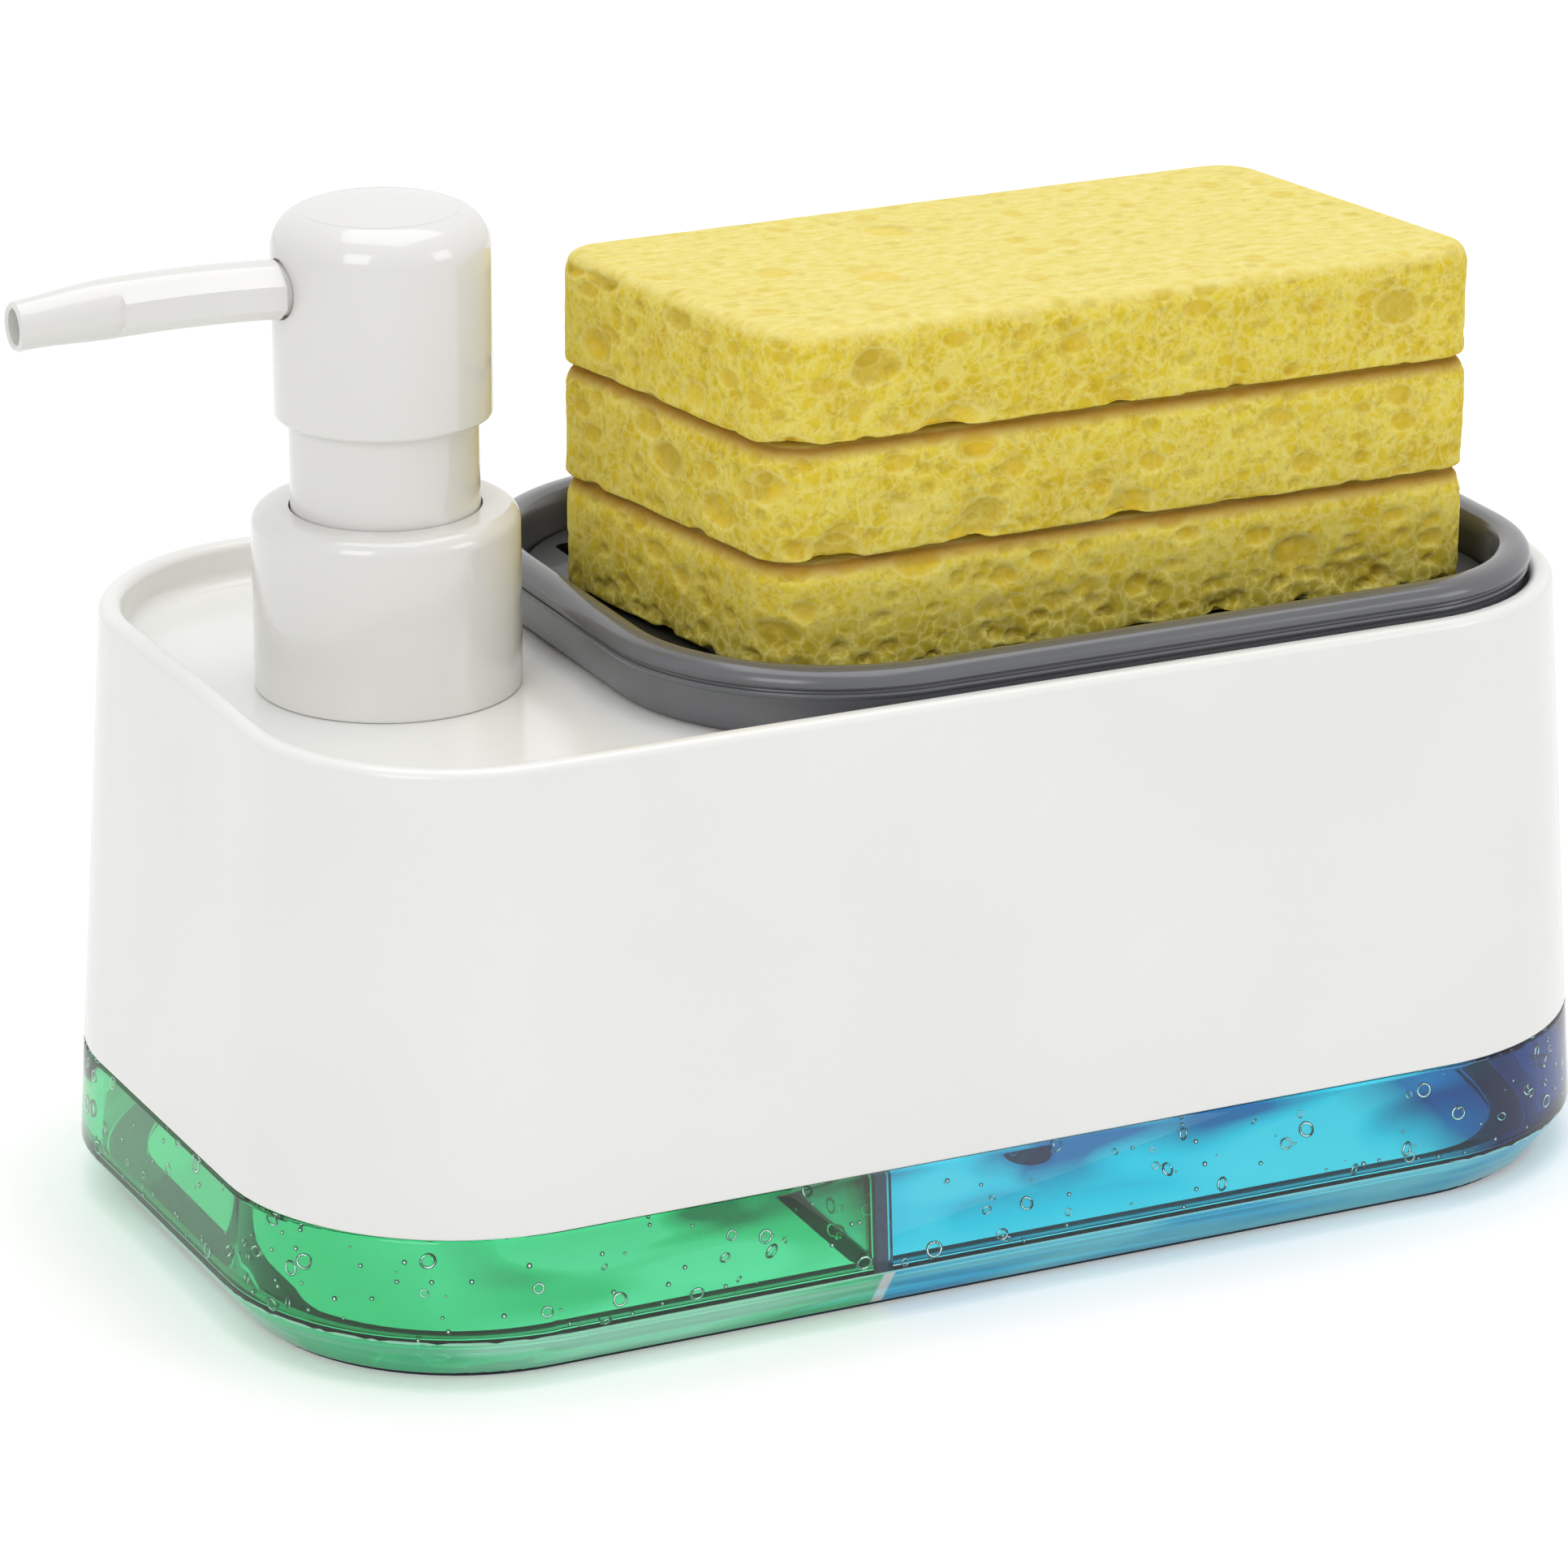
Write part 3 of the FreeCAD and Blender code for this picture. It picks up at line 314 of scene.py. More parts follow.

# %% [markdown]
# ## Grey tray
#
# The tray is glossy grey ABS. It stands out by its reflections: a bright line on the rolled rim, and an
# inner wall that fades to nearly black, because little light gets down there. That fade is painted shade,
# and it dulls the gloss too. Each point of the tray holds how much painted shade it has. The rack on the
# tray's ledge is painted in full shade all over.

# %% Moulded grey ABS


def moulded_grey_abs():
    """Glossy grey ABS with painted shade: black and dull where it lies deep."""
    material, tree, shader = new_material("glossy_grey_abs", IOR=1.54, Coat_Weight=0.25, Coat_Roughness=0.05)
    coordinates = object_coordinates(tree)
    # The painted shade mask darkens the grey towards black and dulls the gloss.
    wet = add(tree, "ShaderNodeAttribute", attribute_name="wet").outputs["Fac"]
    cloud = add(tree, "ShaderNodeTexNoise", {"Vector": coordinates, "Scale": per_metre(30), "Detail": 3.0})
    grey = ramp(tree, cloud.outputs["Fac"], (0.25, "#5B5C60"), (0.75, "#65666A"))
    colour = add(tree, "ShaderNodeMix", {"Factor": wet, "A": grey, "B": linear("#0D0E0C")}, data_type="RGBA")
    skin = add(tree, "ShaderNodeTexNoise", {"Vector": coordinates, "Scale": per_metre(3), "Detail": 3.0})
    gloss = add(tree, "ShaderNodeMapRange", {"Value": skin.outputs["Fac"], "To Min": 0.16, "To Max": 0.26})
    dull = add(tree, "ShaderNodeMath", {0: wet, 1: 0.3, 2: gloss.outputs["Result"]}, operation="MULTIPLY_ADD")
    bump = add(tree, "ShaderNodeBump", {
        "Height": skin.outputs["Fac"], "Strength": 0.04, "Distance": 0.2 * MM})
    plug(
        tree, shader, Base_Color=colour.outputs["Result"],
        Roughness=dull.outputs[0], Normal=bump.outputs["Normal"])
    return material


def with_painted_shade(mesh, values):
    """The mesh with a painted shade value at each point, from 0 for none to 1 for full."""
    mesh.attributes.new("wet", "FLOAT", "POINT").data.foreach_set("value", values)
    return mesh


grey_abs = moulded_grey_abs()
# The rack is painted in full shade all over, so it shows nearly black.
rack = welded_copy("drain_rack")
stand_for("slotted_rack", with_painted_shade(rack, np.ones(len(rack.vertices))), grey_abs, "drain_rack")

# %% [markdown]
# ### The rolled rim
#
# The tray is one moulding: a basin, a ledge for the rack, and a wall whose rim is rolled over, with a bead
# and a groove under it that catch two bright lines. Its outline is a rectangle with round corners, the same
# at every height but for an inset, so a profile of insets and heights is enough to loft it.

# %% Loft the tray

TRAY_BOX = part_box("sponge_tray")
RIM_OVERHANG = 0.7 * MM
TRAY_PUMP_CORNER = 32.0 * MM
TRAY_END_CORNER = 25.84 * MM
TRAY_CORNER_STEPS = 28
SHADE_DEPTH_MM = 6.0
RIM_PROFILE_MM = (  # inset from the wall, height below the rim's top
    # The basin's floor and wall, and the ledge
    (20.0, -19.8), (11.0, -19.8), (10.0, -19.6), (9.2, -18.8), (8.8, -17.6), (8.8, -8.4), (8.5, -7.9),
    (8.0, -7.8), (5.6, -7.8), (4.9, -7.5),
    # The inner wall and the rolled rim
    (4.5, -6.7), (4.3, -3.0), (4.05, -1.2), (3.6, -0.45), (2.9, -0.06), (2.2, 0.0), (1.3, -0.06),
    (0.5, -0.3), (-0.1, -0.75), (-0.5, -1.3), (-0.68, -1.8), (-0.7, -2.15), (-0.5, -2.4), (-0.05, -2.5),
    # The groove and the bead
    (0.1, -2.75), (-0.05, -3.0), (-0.3, -3.15), (-0.4, -3.45), (-0.25, -3.8), (0.05, -4.1),
    # The outside of the wall and of the basin
    (0.1, -6.5), (0.15, -7.6), (0.5, -8.8), (1.3, -9.6), (2.4, -9.8), (6.6, -9.8), (7.0, -10.2),
    (7.0, -17.8), (7.5, -19.9), (8.8, -21.3), (11.0, -21.8), (20.0, -21.8),
)


def tray_ring(inset, height):
    """The tray's outline moved in by an inset, at a height."""
    low, high = TRAY_BOX
    left, right = low.x + RIM_OVERHANG + inset, high.x - RIM_OVERHANG - inset
    depth = high.y - RIM_OVERHANG - inset
    ring = []
    for x_end, y_side, corner, start in (
        (right, 1, TRAY_END_CORNER, 0), (left, 1, TRAY_PUMP_CORNER, 90),
        (left, -1, TRAY_PUMP_CORNER, 180), (right, -1, TRAY_END_CORNER, 270),
    ):
        radius = corner - inset
        x = x_end - radius if x_end == right else x_end + radius
        y = y_side * (depth - radius)
        for turn in np.radians(np.linspace(start, start + 90, TRAY_CORNER_STEPS)):
            ring.append((x + radius * math.cos(turn), y + radius * math.sin(turn), high.z + height))
    return ring


rings = [tray_ring(inset * MM, height * MM) for inset, height in RIM_PROFILE_MM]
tray = loft("rimmed_tray", rings, closed=False)
# The painted shade grows with depth under the rim's top.
painted_shade_levels = [np.clip(-height / SHADE_DEPTH_MM, 0, 1) for inset, height in RIM_PROFILE_MM]
rim_top = RIM_PROFILE_MM.index((2.2, 0.0))
painted_shade_levels[rim_top:] = [0.0] * (len(rings) - rim_top)  # past the rim's top is the outside, with no painted shade
stand_for("rimmed_tray", with_painted_shade(tray, np.repeat(painted_shade_levels, len(rings[0]))), grey_abs, "sponge_tray")

# %% [markdown]
# ## Sponges
#
# A cellulose sponge is a block of stiff foam cut with a blade. Its cut sides show pores of every size, its
# upper face is smoother, and its lower edge is crisp. A plain block with a bump would look flat in the
# light from the side, so the pores are real dents. They follow rules of size and share, which suits
# Geometry Nodes: a block of small quads goes in, and the tree sinks round pores of three sizes into it, lets
# its faces waver, and keeps what each point is part of for the colours.

# %% A block of small quads

FOAM_STEP = 0.47 * MM
FOAM_LENGTH = 108.0 * MM
FOAM_SLANT = 8.6 * MM  # the back edge lies this far towards the pump
FOAM_CORNER = 7.0 * MM
FOAM_TOP_ROUND = 3.0 * MM
FOAM_LOW_ROUND = 0.8 * MM


def box_lattice(counts):
    """The points, from 0 to 1, and the quads of a box's skin."""
    index = np.indices(counts + 1)
    skin = ((index == 0) | (index == counts.reshape(3, 1, 1, 1))).any(axis=0)
    number = np.cumsum(skin.ravel()).reshape(skin.shape) - 1
    quads = []
    for axis in range(3):
        for end in (0, -1):
            side = np.take(number, end, axis=axis)
            corners = [side[:-1, :-1], side[1:, :-1], side[1:, 1:], side[:-1, 1:]]
            if (end == 0) == (axis != 1):
                corners.reverse()
            quads.append(np.stack(corners, axis=-1).reshape(-1, 4))
    return np.argwhere(skin) / counts, np.concatenate(quads)


def foam_block(name, low, high):
    """A block with slanted ends and round corners in plan, a soft upper edge and a crisp lower one."""
    low, high = np.array(low), np.array(high)
    half = np.array([FOAM_LENGTH, high[1] - low[1], high[2] - low[2]]) / 2
    points, quads = box_lattice(np.ceil(2 * half / FOAM_STEP).astype(int))
    points = (2 * points - 1) * half
    level, height = points[:, :2], points[:, 2]
    easing = np.where(height > 0, FOAM_TOP_ROUND, FOAM_LOW_ROUND)
    core = np.clip(level, FOAM_CORNER - half[:2], half[:2] - FOAM_CORNER)
    away = level - core
    reach = np.abs(away).max(axis=1)
    heading = away / np.maximum(np.linalg.norm(away, axis=1), WELD)[:, None]
    shoulder = np.minimum(reach, FOAM_CORNER - easing)
    waist = np.clip(height, easing - half[2], half[2] - easing)
    out = np.column_stack([heading * (reach - shoulder)[:, None], height - waist])
    out *= (easing / np.linalg.norm(out, axis=1))[:, None]
    points = np.column_stack([core + heading * shoulder[:, None], waist]) + out
    points[:, 0] -= points[:, 1] * FOAM_SLANT / (2 * half[1])
    points += (low + high) / 2
    mesh = bpy.data.meshes.new(name)
    mesh.from_pydata(points.tolist(), [], quads.tolist())
    mesh.shade_smooth()
    return mesh


# %% [markdown]
# ### Foam
#
# Cellulose is a dull, slightly clear yellow. Thin threads look pale, flecks between them deeper, and light
# that gets into a large pore comes back golden or olive; that colour is painted light and shade in the pores.
# The upper face is creamy, with short streaks along the way it was rolled and with fewer, fainter pores. In
# the crease under another sponge little light gets in, and the edge is painted brown as shade. The lowest
# sponge is damp at its foot, where a web of threads stands out from dark cells; those dark cells, low in the
# tray, are partly painted shade.

# %% Cut cellulose foam


def cellulose_foam():
    """Cut cellulose: pale threads, deep flecks, painted light and shade in pores and creases, a damp web that
    is partly painted shade.
    """
    material, tree, shader = new_material(
        "cut_cellulose_foam", IOR=1.45, Roughness=0.95, Subsurface_Weight=0.15, Subsurface_Scale=1.5 * MM,
        Subsurface_Radius=(1.0, 0.75, 0.2), Specular_IOR_Level=0.2)
    coordinates = object_coordinates(tree)
    cloud = add(tree, "ShaderNodeTexNoise", {"Vector": coordinates, "Scale": per_metre(6), "Detail": 3.0})
    colour = ramp(tree, cloud.outputs["Fac"], (0.3, "#DABC2C"), (0.5, "#E4CB3C"), (0.72, "#ECD856"))
    strand = add(tree, "ShaderNodeTexNoise", {
        "Vector": coordinates, "Scale": per_metre(2.8), "Detail": 4.0, "Roughness": 0.6, "Distortion": 0.8})
    threads = ramp(tree, strand.outputs["Fac"], (0.43, "#000000"), (0.5, "#FFFFFF"), (0.57, "#000000"))
    grain = add(tree, "ShaderNodeTexNoise", {"Vector": coordinates, "Scale": per_metre(1.1), "Detail": 3.0})
    flecks = ramp(tree, grain.outputs["Fac"], (0.53, "#000000"), (0.68, "#FFFFFF"))
    hollow = ramp(tree, cloud.outputs["Fac"], (0.45, "#CDB344"), (0.55, "#EBC630"))
    rolled = add(tree, "ShaderNodeMapping", {"Vector": coordinates, "Scale": (0.5, 1.0, 1.0)})
    streak = add(tree, "ShaderNodeTexNoise", {
        "Vector": rolled.outputs["Vector"], "Scale": per_metre(1.3), "Detail": 2.0})
    cream = ramp(
        tree, streak.outputs["Fac"], (0.26, "#E2CC66"), (0.38, "#EBDA7C"), (0.5, "#EFE089"), (0.7, "#F4E79C"))
    bent = add(tree, "ShaderNodeVectorMath", {
        0: strand.outputs["Color"], 1: (2.6 * MM,) * 3, 2: coordinates}, operation="MULTIPLY_ADD").outputs[0]
    cells = add(tree, "ShaderNodeTexVoronoi", {
        "Vector": bent, "Scale": per_metre(2.4)}, feature="DISTANCE_TO_EDGE").outputs["Distance"]
    web = ramp(tree, cells, (0.0, "#F0E68C"), (0.1, "#C2B23E"), (0.32, "#8A8022"))
    lines = ramp(tree, cells, (0.02, "#FFFFFF"), (0.14, "#000000"))
    masks = {name: add(tree, "ShaderNodeAttribute", attribute_name=name).outputs["Fac"] for name in (
        "large_pore", "medium_pore", "small_pore", "upper_face", "covered", "damp")}
    rims = [ramp(tree, masks[name], (0.02, "#000000"), (0.2, "#FFFFFF"), (0.5, "#000000"))
            for name in ("large_pore", "medium_pore")]
    # Painted light and shade among these layers: the golden and olive pores, the brown crease shade, and the
    # dark damp web.
    for mask, share, layer in (
        (threads, 0.5, linear("#F3E586")), (flecks, 0.4, linear("#B89A2C")), (lines, 0.26, linear("#F6EC9A")),
        (masks["upper_face"], 0.85, cream),
        (masks["small_pore"], 0.5, linear("#CBB036")), (masks["medium_pore"], 0.6, linear("#DDBB34")),
        (masks["large_pore"], 0.65, hollow),
        (rims[0], 0.35, linear("#F6EB9C")), (rims[1], 0.3, linear("#F3E68C")),
        (masks["covered"], 0.8, linear("#A8700F")), (masks["damp"], 0.65, web),
    ):
        share = add(tree, "ShaderNodeMath", {0: mask, 1: share}, operation="MULTIPLY").outputs[0]
        colour = add(tree, "ShaderNodeMix", {
            "Factor": share, "A": colour, "B": layer}, data_type="RGBA").outputs["Result"]
    relief = add(tree, "ShaderNodeMath", {
        0: strand.outputs["Fac"], 1: grain.outputs["Fac"]}, operation="ADD").outputs[0]
    bump = add(tree, "ShaderNodeBump", {"Height": relief, "Strength": 0.4, "Distance": 0.4 * MM})
    plug(tree, shader, Base_Color=colour, Normal=bump.outputs["Normal"])
    return material


foam = cellulose_foam()

# %% [markdown]
# ### Trees
#
# A Geometry Nodes tree is built once, with named inputs, and run once on a mesh. What it makes is kept as a
# plain mesh, so nothing is worked out again when the piece moves.

# %% Trees with named inputs


def new_tree(name, result, numbers, **others):
    """A tree with number inputs and others, each given with its kind. Returns it with its inputs."""
    tree = bpy.data.node_groups.new(name, "GeometryNodeTree")
    for socket, kind in {**others, **dict.fromkeys(numbers, "Float")}.items():
        tree.interface.new_socket(socket, in_out="INPUT", socket_type="NodeSocket" + kind)
    tree.interface.new_socket(result, in_out="OUTPUT", socket_type="NodeSocketGeometry")
    return tree, add(tree, "NodeGroupInput").outputs


def end_tree(tree, shape, material):
    """Turns instances into real faces, gives them a material and hands them out."""
    real = add(tree, "GeometryNodeRealizeInstances", {"Geometry": shape}).outputs["Geometry"]
    done = add(tree, "GeometryNodeSetMaterial", {"Geometry": real, "Material": material}).outputs["Geometry"]
    add(tree, "NodeGroupOutput", {0: done})
    return tree


# %% Run a tree once and keep its mesh


def grown(name, mesh, tree, **sizes):
    """The plain mesh that a node tree makes from a mesh. Sizes name the tree's inputs."""
    source = bpy.data.objects.new(name + "_source", mesh)
    modifier = source.modifiers.new(name, "NODES")
    modifier.node_group = tree
    for socket in tree.interface.items_tree:
        key = socket.name.replace(" ", "_").lower()
        if socket.in_out == "INPUT" and key in sizes:
            modifier[socket.identifier] = sizes[key]
    scene.collection.objects.link(source)
    evaluated = source.evaluated_get(bpy.context.evaluated_depsgraph_get())
    made = bpy.data.meshes.new_from_object(evaluated)
    made.name = name
    bpy.data.objects.remove(source)
    return made


# %% [markdown]
# ### Pores
#
# A Voronoi texture gives each point its distance to the nearest seed, and each seed its own random colour.
# Only seeds whose colour falls under a share become pores, so some stretches stay plain. The distance
# shapes the pore.

# %% The tree that sinks the pores

PORE_FLOOR = 0.2  # where a pore's floor ends, and where its wall meets the face, as shares of its size
PORE_EDGE = 0.42
UPPER_FROM = 0.4  # how far up a face points where it starts to count as upper, and where it fully does
UPPER_TO = 0.85
CREASE_FROM = 0.93  # the same for where the painted brown crease shade starts to fade, and where it ends
CREASE_TO = 0.995
PORE_WANDER = 2 * MM
PORE_SQUEEZE = (0.75, 0.75, 1.15)  # under 1 draws the pores out that way, over 1 squeezes them
LARGE_SHARE = 0.4  # of the seeds of each size that become pores
MEDIUM_SHARE = 0.5
SMALL_SHARE = 0.35
DAMP_SHARE = 0.5  # how many more small pores there are where it is damp, and how much deeper they are
DAMP_DEEPER = 2.0
UPPER_FEWER = 0.4  # how far the upper face loses its pores, and how far it loses their depth
UPPER_SHALLOWER = 0.85


def pores(tree, place, size, share):
    """A mask that is 1 in the pores of the chosen seeds and 0 elsewhere."""
    scale = add(tree, "ShaderNodeMath", {0: 1.0, 1: size}, operation="DIVIDE")
    seeds = add(tree, "ShaderNodeTexVoronoi", {"Vector": place, "Scale": scale.outputs[0]})
    draw = add(tree, "ShaderNodeSeparateXYZ", {"Vector": seeds.outputs["Color"]})
    chosen = add(tree, "ShaderNodeMath", {0: draw.outputs["X"], 1: share}, operation="LESS_THAN")
    dent = add(tree, "ShaderNodeMapRange", {
        "Value": seeds.outputs["Distance"], "From Min": PORE_FLOOR, "From Max": PORE_EDGE,
        "To Min": 1.0, "To Max": 0.0}, interpolation_type="SMOOTHSTEP")
    return add(tree, "ShaderNodeMath", {
        0: chosen.outputs[0], 1: dent.outputs["Result"]}, operation="MULTIPLY").outputs[0]


def pore_tree():
    """Sinks large, medium and small pores into a block, and stores what each point is part of."""
    numbers = (
        "Large size", "Large depth", "Medium size", "Medium depth", "Small size", "Small depth",
        "Waver depth", "Foot height", "Damp height", "Damp", "Covered", "Seed")
    tree, given = new_tree("sponge_pores", "Sponge", numbers, Block="Geometry")
    position = add(tree, "GeometryNodeInputPosition").outputs["Position"]
    normal = add(tree, "GeometryNodeInputNormal").outputs["Normal"]
    shift = add(tree, "ShaderNodeCombineXYZ", {"X": given["Seed"]}).outputs[0]
    place = add(tree, "ShaderNodeVectorMath", {0: position, 1: shift}, operation="ADD").outputs[0]
    waver = add(tree, "ShaderNodeTexNoise", {"Vector": place, "Scale": per_metre(8), "Detail": 3.0})
    bent = add(tree, "ShaderNodeVectorMath", {
        0: waver.outputs["Color"], 1: (PORE_WANDER,) * 3, 2: place}, operation="MULTIPLY_ADD").outputs[0]
    flat = add(tree, "ShaderNodeVectorMath", {0: bent, 1: PORE_SQUEEZE}, operation="MULTIPLY").outputs[0]
    height = add(tree, "ShaderNodeSeparateXYZ", {"Vector": position}).outputs["Z"]
    up = add(tree, "ShaderNodeSeparateXYZ", {"Vector": normal}).outputs["Z"]
    upper = add(tree, "ShaderNodeMapRange", {
        "Value": up, "From Min": UPPER_FROM, "From Max": UPPER_TO}).outputs["Result"]
    # Painted shade: where a sponge lies under another, its upper edge is painted brown.
    edge = add(tree, "ShaderNodeMapRange", {
        "Value": up, "From Min": CREASE_FROM, "From Max": CREASE_TO,
        "To Min": given["Covered"], "To Max": 0.0}).outputs["Result"]
    covered = add(tree, "ShaderNodeMath", {0: upper, 1: edge}, operation="MULTIPLY").outputs[0]
    sparse = add(tree, "ShaderNodeMath", {
        0: upper, 1: -UPPER_FEWER, 2: 1.0}, operation="MULTIPLY_ADD").outputs[0]
    # The damp foot's darkening is partly painted shade, low in the tray; it also adds and deepens small
    # pores.
    damp_shade_top = add(tree, "ShaderNodeMath", {
        0: given["Foot height"], 1: given["Damp height"]}, operation="ADD").outputs[0]
    damp = add(tree, "ShaderNodeMapRange", {
        "Value": height, "From Min": given["Foot height"], "From Max": damp_shade_top,
        "To Min": given["Damp"], "To Max": 0.0}).outputs["Result"]
    small_share = add(tree, "ShaderNodeMath", {
        0: damp, 1: DAMP_SHARE, 2: SMALL_SHARE}, operation="MULTIPLY_ADD").outputs[0]
    deeper = add(tree, "ShaderNodeMath", {
        0: damp, 1: DAMP_DEEPER, 2: 1.0}, operation="MULTIPLY_ADD").outputs[0]
    small_depth = add(tree, "ShaderNodeMath", {
        0: given["Small depth"], 1: deeper}, operation="MULTIPLY").outputs[0]
    cut = add(tree, "ShaderNodeMath", {
        0: upper, 1: -UPPER_SHALLOWER, 2: 1.0}, operation="MULTIPLY_ADD").outputs[0]
    swell = add(tree, "ShaderNodeMath", {0: waver.outputs["Fac"], 1: cut}, operation="MULTIPLY").outputs[0]
    depth = add(tree, "ShaderNodeMath", {0: swell, 1: given["Waver depth"]}, operation="MULTIPLY").outputs[0]
    sponge = given["Block"]
    for name, size, share, most in (
        ("large_pore", given["Large size"], LARGE_SHARE, given["Large depth"]),
        ("medium_pore", given["Medium size"], MEDIUM_SHARE, given["Medium depth"]),
        ("small_pore", given["Small size"], small_share, small_depth),
    ):
        share = add(tree, "ShaderNodeMath", {0: share, 1: sparse}, operation="MULTIPLY").outputs[0]
        mask = pores(tree, flat, size, share)
        most = add(tree, "ShaderNodeMath", {0: most, 1: cut}, operation="MULTIPLY").outputs[0]
        depth = add(tree, "ShaderNodeMath", {0: mask, 1: most, 2: depth}, operation="MULTIPLY_ADD").outputs[0]
        seen = add(tree, "ShaderNodeMath", {0: mask, 1: sparse}, operation="MULTIPLY").outputs[0]
        sponge = add(tree, "GeometryNodeStoreNamedAttribute", {
            "Geometry": sponge, "Name": name, "Value": seen}, data_type="FLOAT").outputs["Geometry"]
    for name, value in (("damp", damp), ("upper_face", upper), ("covered", covered)):
        sponge = add(tree, "GeometryNodeStoreNamedAttribute", {
            "Geometry": sponge, "Name": name, "Value": value}, data_type="FLOAT").outputs["Geometry"]
    inward = add(tree, "ShaderNodeVectorMath", {0: normal, "Scale": depth}, operation="SCALE").outputs[0]
    sunk = add(tree, "ShaderNodeVectorMath", {0: position, 1: inward}, operation="SUBTRACT").outputs[0]
    sponge = add(tree, "GeometryNodeSetPosition", {"Geometry": sponge, "Position": sunk}).outputs["Geometry"]
    return end_tree(tree, sponge, foam)


# %% The three sponges

sponge_pores = pore_tree()
# The two lower sponges get the painted brown crease shade. The damp foot, partly painted shade, is full on
# the lowest and faint on the middle one.
for node, name, damp, covered in (
    ("sponge_bottom", "damp_sponge", 1.0, 1.0), ("sponge_middle", "second_sponge", 0.1, 1.0),
    ("sponge_top", "upper_sponge", 0.0, 0.0),
):
    low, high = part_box(node)
    block = foam_block(name + "_block", low, high)
    mesh = grown(
        name, block, sponge_pores, large_size=8.5 * MM, large_depth=0.8 * MM, medium_size=4.8 * MM,
        medium_depth=0.6 * MM, small_size=2.8 * MM, small_depth=0.45 * MM, waver_depth=0.7 * MM,
        foot_height=low.z, damp_height=9.0 * MM, damp=damp, covered=covered, seed=0.4 * damp)
    stand_for(name, mesh, foam, node)

# %% [markdown]
# ## Clear tank
#
# The tub is clear styrene, polished inside and out. Light runs along inside its thick wall and picks up the
# soap's colour, most of all in the sloping foot, which glows. A ray tracer would need very many bounces for
# that, so painted light does it here: a tint that changes at the divider and deepens in the foot, painted
# streaks of light in the foot, a painted highlight on the round edge above it, and a white painted highlight
# where the divider meets the foot.

# %% Polished clear styrene

DIVIDER_X = sum(corner.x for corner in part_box("cell_divider")) / 2
RIDGE_Z = 6.8 * MM
RIDGE_ROUND = 0.7 * MM
FOOT_CLEARNESS = 0.4
EDGE_CLEARNESS = 0.4
TINT_HALF = 5 * MM  # the tint changes within this distance of the divider
UPRIGHT = -0.02  # the upward part of a face's normal, from the wall's to the underside's
EDGE_TILT = -0.5
UNDERSIDE = -0.95


def clear_styrene():
    """Clear polystyrene with sharp reflections, and painted light in the soap's colours, most in its foot."""
    material, tree, shader = new_material("polished_clear_styrene", IOR=1.5, Roughness=0.01)
    place = add(tree, "ShaderNodeSeparateXYZ", {"Vector": object_coordinates(tree)}).outputs
    side = add(tree, "ShaderNodeMapRange", {
        "Value": place["X"], "From Min": DIVIDER_X - TINT_HALF, "From Max": DIVIDER_X + TINT_HALF,
    }).outputs["Result"]
    wall = ramp(tree, side, (0.4, "#EAFFF5"), (0.6, "#E6FBFF"))
    # Painted light in the foot: streaks of a pale tint over a deeper one.
    drawn = add(tree, "ShaderNodeMapping", {"Vector": object_coordinates(tree), "Scale": (0.1, 0.1, 1.0)})
    streaks = add(tree, "ShaderNodeTexNoise", {
        "Vector": drawn.outputs["Vector"], "Scale": per_metre(3.5), "Detail": 1.0, "Distortion": 0.4})
    streak = ramp(tree, streaks.outputs["Fac"], (0.4, "#000000"), (0.62, "#FFFFFF"))
    # The white band in both foot tints, at the divider, is a painted highlight.
    deep = ramp(tree, side, (0.4, "#4FE0A0"), (0.44, "#FFFFFF"), (0.56, "#FFFFFF"), (0.6, "#18BCEC"))
    pale = ramp(tree, side, (0.4, "#B4FFE2"), (0.44, "#FFFFFF"), (0.56, "#FFFFFF"), (0.6, "#78E8FA"))
    foot = add(tree, "ShaderNodeMix", {
        "Factor": streak, "A": deep, "B": pale}, data_type="RGBA").outputs["Result"]
    # A pale painted highlight on the round edge above the foot.
    edge = ramp(tree, side, (0.4, "#B9FFE0"), (0.6, "#A6F6FF"))
    tint, clearness = wall, 1.0
    for attribute, colour, clear in (
        ("sloping_foot", foot, FOOT_CLEARNESS), ("bright_edge", edge, EDGE_CLEARNESS),
    ):
        part = add(tree, "ShaderNodeAttribute", attribute_name=attribute).outputs["Fac"]
        tint = add(tree, "ShaderNodeMix", {
            "Factor": part, "A": tint, "B": colour}, data_type="RGBA").outputs["Result"]
        clearness = add(tree, "ShaderNodeMix", {"Factor": part, "A": clearness, "B": clear}).outputs["Result"]
    plug(tree, shader, Base_Color=tint, Transmission_Weight=clearness)
    return material


def mark_foot(mesh):
    """Stores, per face, whether it is on the slope under the wall, which gets painted light, or on the round
    edge above that, which gets a painted highlight.
    """
    slope, edge = [], []
    for face in mesh.polygons:
        on_edge = EDGE_TILT < face.normal.z < UPRIGHT and abs(face.center.z - RIDGE_Z) < RIDGE_ROUND
        on_slope = UNDERSIDE < face.normal.z <= UPRIGHT and face.center.z < RIDGE_Z
        edge.append(float(on_edge))
        slope.append(float(on_slope and not on_edge))
    mesh.attributes.new("sloping_foot", "FLOAT", "FACE").data.foreach_set("value", slope)
    mesh.attributes.new("bright_edge", "FLOAT", "FACE").data.foreach_set("value", edge)
    return mesh


tank_styrene = clear_styrene()
for node, name in (("tank_tub", "clear_tub"), ("cell_divider", "clear_divider")):
    stand_for(name, mark_foot(welded_copy(node)), tank_styrene, node)

